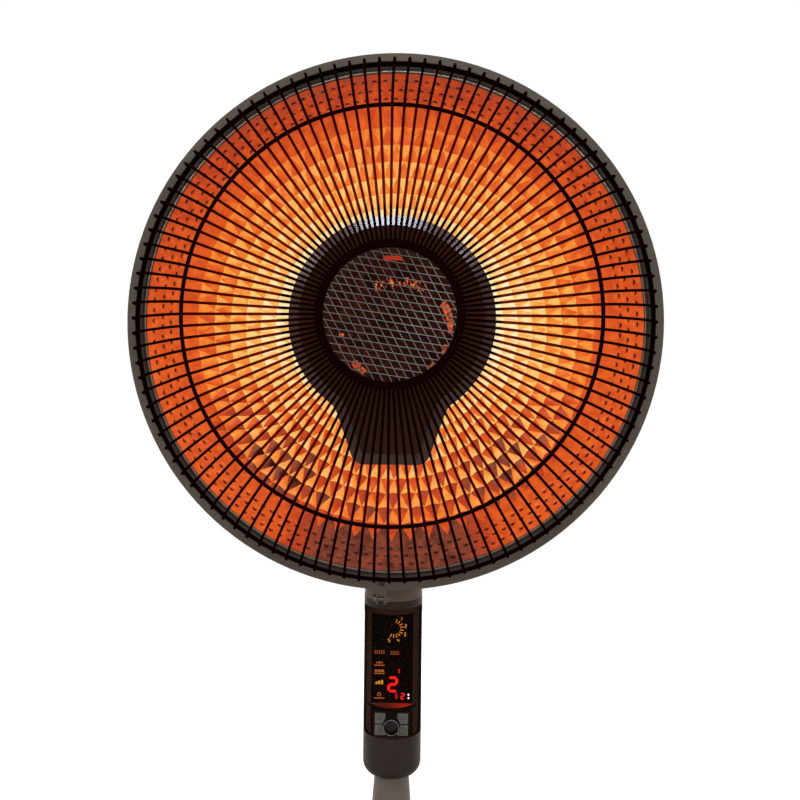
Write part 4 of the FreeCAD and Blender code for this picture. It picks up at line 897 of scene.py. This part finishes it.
def make_tunnel_glow():
    """Thin skin on the top of the shield's tunnel, glowing with painted light where the lamp shines through
    its joint.
    """
    bm = bmesh.new()
    loops = []
    for step in range(TUNNEL_GLOW_STEPS + 1):
        turn = blend(TUNNEL_GLOW_REACH, -TUNNEL_GLOW_REACH, step / TUNNEL_GLOW_STEPS)
        angle = math.radians(90 + turn)
        loops.append([bm.verts.new(dish_point(radius, angle, y)) for radius, y in (
            (TUNNEL_R, TUNNEL_GLOW_FRONT), (TUNNEL_R, TUNNEL_GLOW_BACK),
            (TUNNEL_R - SKIN, TUNNEL_GLOW_BACK), (TUNNEL_R - SKIN, TUNNEL_GLOW_FRONT))])
    add_strip(bm, loops)
    add_piece("tunnel_glow", bm, "head", TUNNEL_GLOW)


# Guard


def spoke_line():
    """Line of one guard wire as (radius, y), with rounded bends."""
    rim_r = OUTER_RING_R - SPOKE_RIM_INSET
    shoulder_y = GUARD_BACK_Y - GUARD_SHOULDER
    front_y = GUARD_FRONT_Y + SPOKE_R
    mid_y = front_y + MID_RING_SET_BACK
    points = [(rim_r, GUARD_BACK_Y), (rim_r, shoulder_y),
              ((2 * rim_r + MID_RING_R) / 3, (shoulder_y + mid_y) / 2 + SPOKE_BULGE),
              (MID_RING_R + 2 * RING_WIRE_R, mid_y), (MESH_R, front_y)]
    bends = rounded(points, SPOKE_BEND_R)
    start = bends.pop()
    reach = bends[-1] - start
    return bends + [start + reach * (step / WIRE_STEPS) for step in range(WIRE_STEPS - 1, -1, -1)]


def wire_red_light(point):
    """How much painted red light a guard wire gets: most just outside the shield, nothing over the shield
    and its tail.
    """
    radius = math.hypot(point.x, point.z - DISH_Z)
    over_tail = abs(point.x) < RED_TAIL_X and point.z < DISH_Z and radius < RED_TAIL_R
    if radius < RED_START_R or over_tail:
        return 0.0
    return part_way(radius, RED_END_R, RED_START_R)


def make_guard_wires():
    """The bent wires of the guard."""
    bm = bmesh.new()
    line = spoke_line()
    for index in range(SPOKES):
        angle = 2 * math.pi * index / SPOKES
        across = Vector((-math.sin(angle), 0, math.cos(angle)))
        add_tube(bm, [dish_point(radius, angle, y) for radius, y in line], across, SPOKE_R, WIRE_SIDES)
    # Painted red light of each point, given out as emission by the wires' material
    layer = bm.verts.layers.float.new("glow")
    for vert in bm.verts:
        vert[layer] = wire_red_light(vert.co)
    add_piece("guard_wires", bm, "head", FINISHES["guard_wire"], ("guard_spokes",))


def make_guard_ring(name, node, radius):
    """Round wire ring in the place of a CAD ring."""
    bm = bmesh.new()
    path = ring_path(radius, middle(node, 1))
    add_tube(bm, path, BACKWARDS, RING_WIRE_R, RING_SIDES, closed=True)
    add_piece(name, bm, "head", FINISHES["guard_wire"], (node,))


def make_hub_ring():
    """Flat ring over the wires' inner ends, with rounded edges."""
    low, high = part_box("guard_hub_ring")
    outer = half_span("guard_hub_ring", 0)
    inner = outer - HUB_BAND
    shoulder = low[1] + HUB_EDGE
    bm = bmesh.new()
    add_lathe(bm, [(inner, high[1]), (inner, shoulder), (inner + HUB_EDGE, low[1]),
                   (outer - HUB_EDGE, low[1]), (outer, shoulder), (outer, high[1])], HUB_SEGMENTS)
    add_piece("hub_ring", bm, "head", FINISHES["guard_wire"], ("guard_hub_ring",))


def add_strands(bm, slope, y):
    """One family of straight strands across the hub, cut to its round edge."""
    along = Vector((math.cos(slope), 0, math.sin(slope)))
    side = Vector((-math.sin(slope), 0, math.cos(slope)))
    count = int(MESH_R / MESH_PITCH)
    for index in range(-count, count + 1):
        offset = index * MESH_PITCH
        reach = math.sqrt(max(0.0, (MESH_R - MESH_EDGE) ** 2 - offset ** 2))
        if reach < MESH_PITCH / 2:
            continue
        centre = Vector((0, y, DISH_Z)) + side * offset
        ends = [centre - along * reach, centre + along * reach]
        add_tube(bm, ends, BACKWARDS, MESH_STRAND / 2, STRAND_SIDES)


def make_guard_mesh():
    """Expanded metal disc: two crossing families of strands."""
    bm = bmesh.new()
    y = middle("guard_mesh", 1)
    add_strands(bm, MESH_LEVEL_SLOPE, y - MESH_LAYER)
    add_strands(bm, MESH_STEEP_SLOPE, y + MESH_LAYER)
    add_piece("hub_mesh", bm, "head", FINISHES["mesh_metal"], ("guard_mesh",))


# Display and keys


def add_plate(bm, outline, y, wall):
    """Thin flat mark from its (x, z) outline, standing in front of the plane at y."""
    back = [bm.verts.new((x, y, z)) for x, z in outline]
    front = [bm.verts.new((x, y - wall, z)) for x, z in outline]
    add_slab(bm, back, front)


def add_bar(bm, start, end, width, y, wall=MARK_WALL):
    """Straight mark with pointed ends between two (x, z) points."""
    start = Vector(start)
    end = Vector(end)
    along = (end - start).normalized() * width / 2
    side = Vector((-along.y, along.x))
    add_plate(bm, [start - along, start + side, end + side, end + along, end - side, start - side], y, wall)


def add_block(bm, x, z, width, height, y, wall=MARK_WALL):
    """Rectangular mark about its middle."""
    corners = ((-1, -1), (1, -1), (1, 1), (-1, 1))
    add_plate(bm, [(x + side * width / 2, z + end * height / 2) for side, end in corners], y, wall)


def add_arc(bm, centre, radius, start, end, width, y, wall=MARK_WALL, steps=14):
    """Curved mark of constant width."""
    angles = [math.radians(start + (end - start) * step / steps) for step in range(steps + 1)]
    for here, there in zip(angles, angles[1:]):
        corners = []
        for angle, reach in ((here, -1), (there, -1), (there, 1), (here, 1)):
            r = radius + reach * width / 2
            corners.append((centre[0] + r * math.cos(angle), centre[1] + r * math.sin(angle)))
        add_plate(bm, corners, y, wall)


def add_digit(bm, digit, place, width, height, stroke):
    """Plain seven-segment number."""
    x, z = place
    left, right = x - width / 2, x + width / 2
    low, high = z - height / 2, z + height / 2
    ends = {"a": ((left, high), (right, high)), "b": ((right, high), (right, z)),
            "c": ((right, z), (right, low)), "d": ((left, low), (right, low)),
            "e": ((left, low), (left, z)), "f": ((left, z), (left, high)), "g": ((left, z), (right, z))}
    for segment in SEGMENTS[digit]:
        start, end = (Vector(point) for point in ends[segment])
        trim = (end - start).normalized() * stroke * SEGMENT_TRIM
        add_bar(bm, start + trim, end - trim, stroke, BOARD_Y)


def make_timer_marks():
    """Part ring of lit bars with plain numbers beside it."""
    bm = bmesh.new()
    width, length = TIMER_BAR
    for index in range(TIMER_BARS):
        angle = TIMER_FIRST + TIMER_STEP * index
        way = Vector((math.cos(angle), math.sin(angle)))
        middle_point = Vector(TIMER_CENTRE) + way * TIMER_R
        add_bar(bm, middle_point - way * length / 2, middle_point + way * length / 2, width, BOARD_Y)
    add_piece("timer_bars", bm, "stand", AMBER_MARK)
    bm = bmesh.new()
    for digit, place in TIMER_NUMBERS.items():
        add_digit(bm, digit, place, *TIMER_NUMBER)
    add_piece("timer_numbers", bm, "stand", AMBER_MARK)


def make_level_marks():
    """Column of generic marks at the left: rows of dots and lines, rising bars and a ring."""
    bm = bmesh.new()
    for row in DOT_ROWS:
        for step in DOT_STEPS:
            for x, drop, width, pitch in DOT_GROUPS:
                add_block(bm, x + step * pitch, row - drop, width, DOT_HEIGHT, BOARD_Y)
    for row in LINE_ROWS:
        add_block(bm, MARKS_X, row, *LINE_SIZE, BOARD_Y)
    for step in TRIO:
        for z, pitch, width, height, extra in BLOCK_TRIOS:
            add_block(bm, MARKS_X + step * pitch, z, width, height + extra * (1 - abs(step)), BOARD_Y)
    add_arc(bm, (MARKS_X, RING_MARK_Z), RING_MARK_R, 0, 360, RING_MARK_LINE, BOARD_Y)
    add_piece("level_marks", bm, "stand", DIM_MARK)
    bm = bmesh.new()
    width, least = LEVEL_BAR
    for step in TRIO:
        height = least + LEVEL_BAR_STEP * (step + 1)
        add_block(bm, MARKS_X + step * LEVEL_BAR_PITCH, LEVEL_BARS_Z + height / 2, width, height, BOARD_Y)
    add_piece("level_bars", bm, "stand", AMBER_MARK)


def make_red_numbers():
    """One large number, a small one above it and a pair with a colon below."""
    bm = bmesh.new()
    for number in RED_NUMBERS:
        add_digit(bm, *number)
    add_piece("red_numbers", bm, "stand", RED_MARK)
    bm = bmesh.new()
    for row in COLON_ROWS:
        add_block(bm, COLON_X, row, *COLON_DOT, BOARD_Y)
    add_piece("colon_dots", bm, "stand", WHITE_MARK)


def add_border_strip(bm, start, end, low, high):
    """Curved strip of the border behind the lens, between two angles from the front."""
    outer = LENS_R - LENS_WALL - BORDER_GAP
    inner = outer - BORDER_WALL
    corners = ((outer, low), (outer, high), (inner, high), (inner, low))
    loops = []
    for step in range(BORDER_STEPS + 1):
        angle = blend(start, end, step / BORDER_STEPS)
        loops.append([bm.verts.new((radius * math.sin(angle), -radius * math.cos(angle), z))
                      for radius, z in corners])
    add_strip(bm, loops)


def make_lens_border():
    """Brown paint round the window of the display: two upright strips and one above."""
    bm = bmesh.new()
    add_border_strip(bm, -BORDER_END, -BORDER_SIDE, LENS_LOW, LENS_TOP)
    add_border_strip(bm, BORDER_SIDE, BORDER_END, LENS_LOW, LENS_TOP)
    add_border_strip(bm, -BORDER_SIDE, BORDER_SIDE, LENS_TOP - BORDER_TOP, LENS_TOP)
    add_piece("lens_border", bm, "stand", BORDER_FINISH)


def make_shelf_skin():
    """Top of the shelf between the display and the lens, with painted light from the lit display."""
    bm = bmesh.new()
    half_angle = math.acos(-BOARD_Y / SHELF_R)
    angles = [blend(-half_angle, half_angle, step / SHELF_STEPS) for step in range(SHELF_STEPS + 1)]
    outline = [(SHELF_R * math.sin(angle), -SHELF_R * math.cos(angle)) for angle in angles]
    low = [bm.verts.new((x, y, SHELF_Z)) for x, y in outline]
    high = [bm.verts.new((x, y, SHELF_Z + SHELF_SKIN)) for x, y in outline]
    add_slab(bm, low, high)
    add_piece("shelf_skin", bm, "stand", SHELF_GLOW)


def add_arc_sign(bm, x, y, z):
    """Shallow arc with a dot at both ends."""
    add_arc(bm, (x, z + ARC_SIGN_RISE), ARC_SIGN_R, *ARC_SIGN_SPAN, SIGN_LINE, y, SIGN_WALL)
    reach, rise = ARC_SIGN_DOT_PLACE
    for side in (-1, 1):
        add_block(bm, x + side * reach, z + rise, *ARC_SIGN_DOT, y, SIGN_WALL)


def add_clock_sign(bm, x, y, z):
    """Ring with two hands."""
    add_arc(bm, (x, z), CLOCK_SIGN_R, 0, 360, SIGN_LINE, y, SIGN_WALL, CLOCK_SIGN_STEPS)
    for across, up in CLOCK_SIGN_HANDS:
        add_bar(bm, (x, z), (x + across, z + up), SIGN_LINE, y, SIGN_WALL)


def add_bar_sign(bm, x, y, z):
    """Three rising bars."""
    width, least = BAR_SIGN
    for step in TRIO:
        height = least + BAR_SIGN_STEP * (step + 1)
        add_block(bm, x + step * BAR_SIGN_PITCH, z, width, height, y, SIGN_WALL)


def add_line_sign(bm, x, y, z):
    """Three level lines."""
    for step in TRIO:
        add_block(bm, x, z + step * LINE_SIGN_PITCH, *LINE_SIGN, y, SIGN_WALL)


def make_key_signs():
    """Generic sign printed on each key."""
    signs = {"key_upper_left": add_bar_sign, "key_lower_left": add_line_sign,
             "key_upper_right": add_arc_sign, "key_lower_right": add_clock_sign}
    for node, add_sign in signs.items():
        bm = bmesh.new()
        add_sign(bm, middle(node, 0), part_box(node)[0][1], middle(node, 2))
        add_piece(node + "_sign", bm, node, ICON_INK)


def make_power_ring():
    """Bright ring on the pad round the power button."""
    bm = bmesh.new()
    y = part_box("key_bezel")[0][1]
    x = middle("power_button", 0)
    z = middle("power_button", 2)
    path = ring_path(POWER_RING_R, y, x, z, POWER_RING_STEPS)
    add_tube(bm, path, BACKWARDS, POWER_RING_WIRE_R, WIRE_SIDES, closed=True)
    add_piece("power_ring", bm, "stand", CHROME)


def add_screw(bm, marks, place):
    """Pan-head screw along the place's Z, with two dark bars on top as painted shade in its cross recess.
    """
    add_dome(bm, place, SCREW_R, SCREW_HEIGHT, SCREW_SIDES, SCREW_RINGS)
    size = Matrix.Diagonal((SCREW_R, SCREW_R / 4, SCREW_CROSS_WALL, 1))
    for turn in (0, math.pi / 2):
        bar = place @ Matrix.Rotation(turn, 4, "Z") @ Matrix.Translation((0, 0, SCREW_HEIGHT))
        bmesh.ops.create_cube(marks, size=1.0, matrix=bar @ size)


def make_screws(name, body, places):
    """Group of screws on one body, which all point backwards."""
    bm = bmesh.new()
    marks = bmesh.new()
    turn = BACKWARDS.to_track_quat("Z", "X").to_matrix().to_4x4()
    for place in places:
        add_screw(bm, marks, Matrix.Translation(place) @ turn)
    add_piece(name, bm, body, DARK_STEEL)
    # Dark bars as painted shade in the screws' cross recesses
    add_piece(name + "_cross_shade", marks, body, FINISHES["board_black"])


def make_all_screws():
    """Screws of the rear cover and of the column's back."""
    cover_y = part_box("rear_cover")[1][1]
    places = [dish_point(REAR_SCREW_R, math.radians(turn), cover_y) for turn in REAR_SCREW_TURNS]
    make_screws("rear_screws", "head", places)
    column_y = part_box("column_back")[1][1]
    low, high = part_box("column_back")[0][2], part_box("column_back")[1][2]
    places = [Vector((0, column_y, blend(low, high, share))) for share in COLUMN_SCREW_SHARES]
    make_screws("column_screws", "stand", places)


# Camera, light and floor


def add_camera():
    """The photograph's own view."""
    data = bpy.data.cameras.new("camera")
    data.lens = CAMERA_LENS
    data.sensor_width = SENSOR_WIDTH
    data.clip_start = CLIP_START
    camera = bpy.data.objects.new("camera", data)
    turn = Matrix.Rotation(CAMERA_YAW, 4, "Z") @ Matrix.Rotation(math.radians(90), 4, "X")
    camera.matrix_world = Matrix.Translation(CAMERA_PLACE) @ turn @ Matrix.Rotation(CAMERA_ROLL, 4, "Z")
    bpy.context.scene.collection.objects.link(camera)
    bpy.context.scene.camera = camera


def seen_ray(nodes, link):
    """One for camera, glossy and transmission rays, which see the white background."""
    path = nodes.new("ShaderNodeLightPath").outputs
    direct = add_math(nodes, link, "MAXIMUM", path["Is Camera Ray"], path["Is Glossy Ray"])
    return add_math(nodes, link, "MAXIMUM", direct, path["Is Transmission Ray"])


def add_world():
    """White background that lights the object only softly."""
    world = bpy.data.worlds.new("studio")
    world.use_nodes = True
    nodes = world.node_tree.nodes
    link = world.node_tree.links.new
    back = nodes["Background"]
    back.inputs["Color"].default_value = (1, 1, 1, 1)
    strength = add_range(nodes, link, seen_ray(nodes, link), (0.0, 1.0), (WORLD_LIGHT, 1.0))
    link(strength, back.inputs["Strength"])
    bpy.context.scene.world = world


def add_floor():
    """Pale floor that keeps the object's shadow."""
    bm = bmesh.new()
    bmesh.ops.create_circle(bm, cap_ends=True, segments=FLOOR_SEGMENTS, radius=FLOOR_R)
    mesh = bpy.data.meshes.new("floor")
    bm.to_mesh(mesh)
    bm.free()
    floor = bpy.data.objects.new("floor", mesh)
    bpy.context.scene.collection.objects.link(floor)
    material, shader, nodes, link = new_material("pale_floor")
    shader.inputs["Base Color"].default_value = (0.8, 0.8, 0.8, 1)
    shader.inputs["Roughness"].default_value = 0.9
    shader.inputs["Emission Color"].default_value = (1, 1, 1, 1)
    place = nodes.new("ShaderNodeTexCoord")
    far = nodes.new("ShaderNodeVectorMath")
    far.operation = "LENGTH"
    link(place.outputs["Object"], far.inputs[0])
    fade = add_range(nodes, link, far.outputs["Value"], FLOOR_FADE, FLOOR_GLOW)
    lift = add_math(nodes, link, "MULTIPLY", seen_ray(nodes, link), fade)
    link(lift, shader.inputs["Emission Strength"])
    mesh.materials.append(material)


def add_lamp(name, place, target, size, power, colour=(1, 1, 1)):
    """Soft square lamp aimed at a point."""
    data = bpy.data.lights.new(name, "AREA")
    data.size = size
    data.energy = power
    data.color = colour
    lamp = bpy.data.objects.new(name, data)
    way = Vector(target) - Vector(place)
    lamp.matrix_world = Matrix.Translation(place) @ way.to_track_quat("-Z", "Y").to_matrix().to_4x4()
    bpy.context.scene.collection.objects.link(lamp)
    return lamp


def add_lamps():
    """Small lamps at both sides, soft ones in front and behind, and panels that only gleam."""
    for name, place, width, power in LAMPS:
        add_lamp(name, place, LAMP_AIM, width, power)
    for name, place, width, power, colour in GLEAMS:
        gleam = add_lamp(name, place, GLEAM_AIM, width, power, colour)
        gleam.data.shape = "RECTANGLE"
        gleam.data.size_y = GLEAM_DEPTH
        gleam.visible_diffuse = False


paint_nodes()
make_reflector()
make_reflector_lip()
make_reflector_bumps()
make_tunnel_glow()
make_guard_wires()
make_guard_ring("outer_ring", "guard_outer_ring", OUTER_RING_R)
make_guard_ring("mid_ring", "guard_mid_ring", MID_RING_R)
make_hub_ring()
make_guard_mesh()
make_timer_marks()
make_level_marks()
make_red_numbers()
make_lens_border()
make_shelf_skin()
make_key_signs()
make_power_ring()
make_all_screws()
add_camera()
add_world()
add_floor()
add_lamps()
bpy.context.scene.view_settings.view_transform = "Standard"
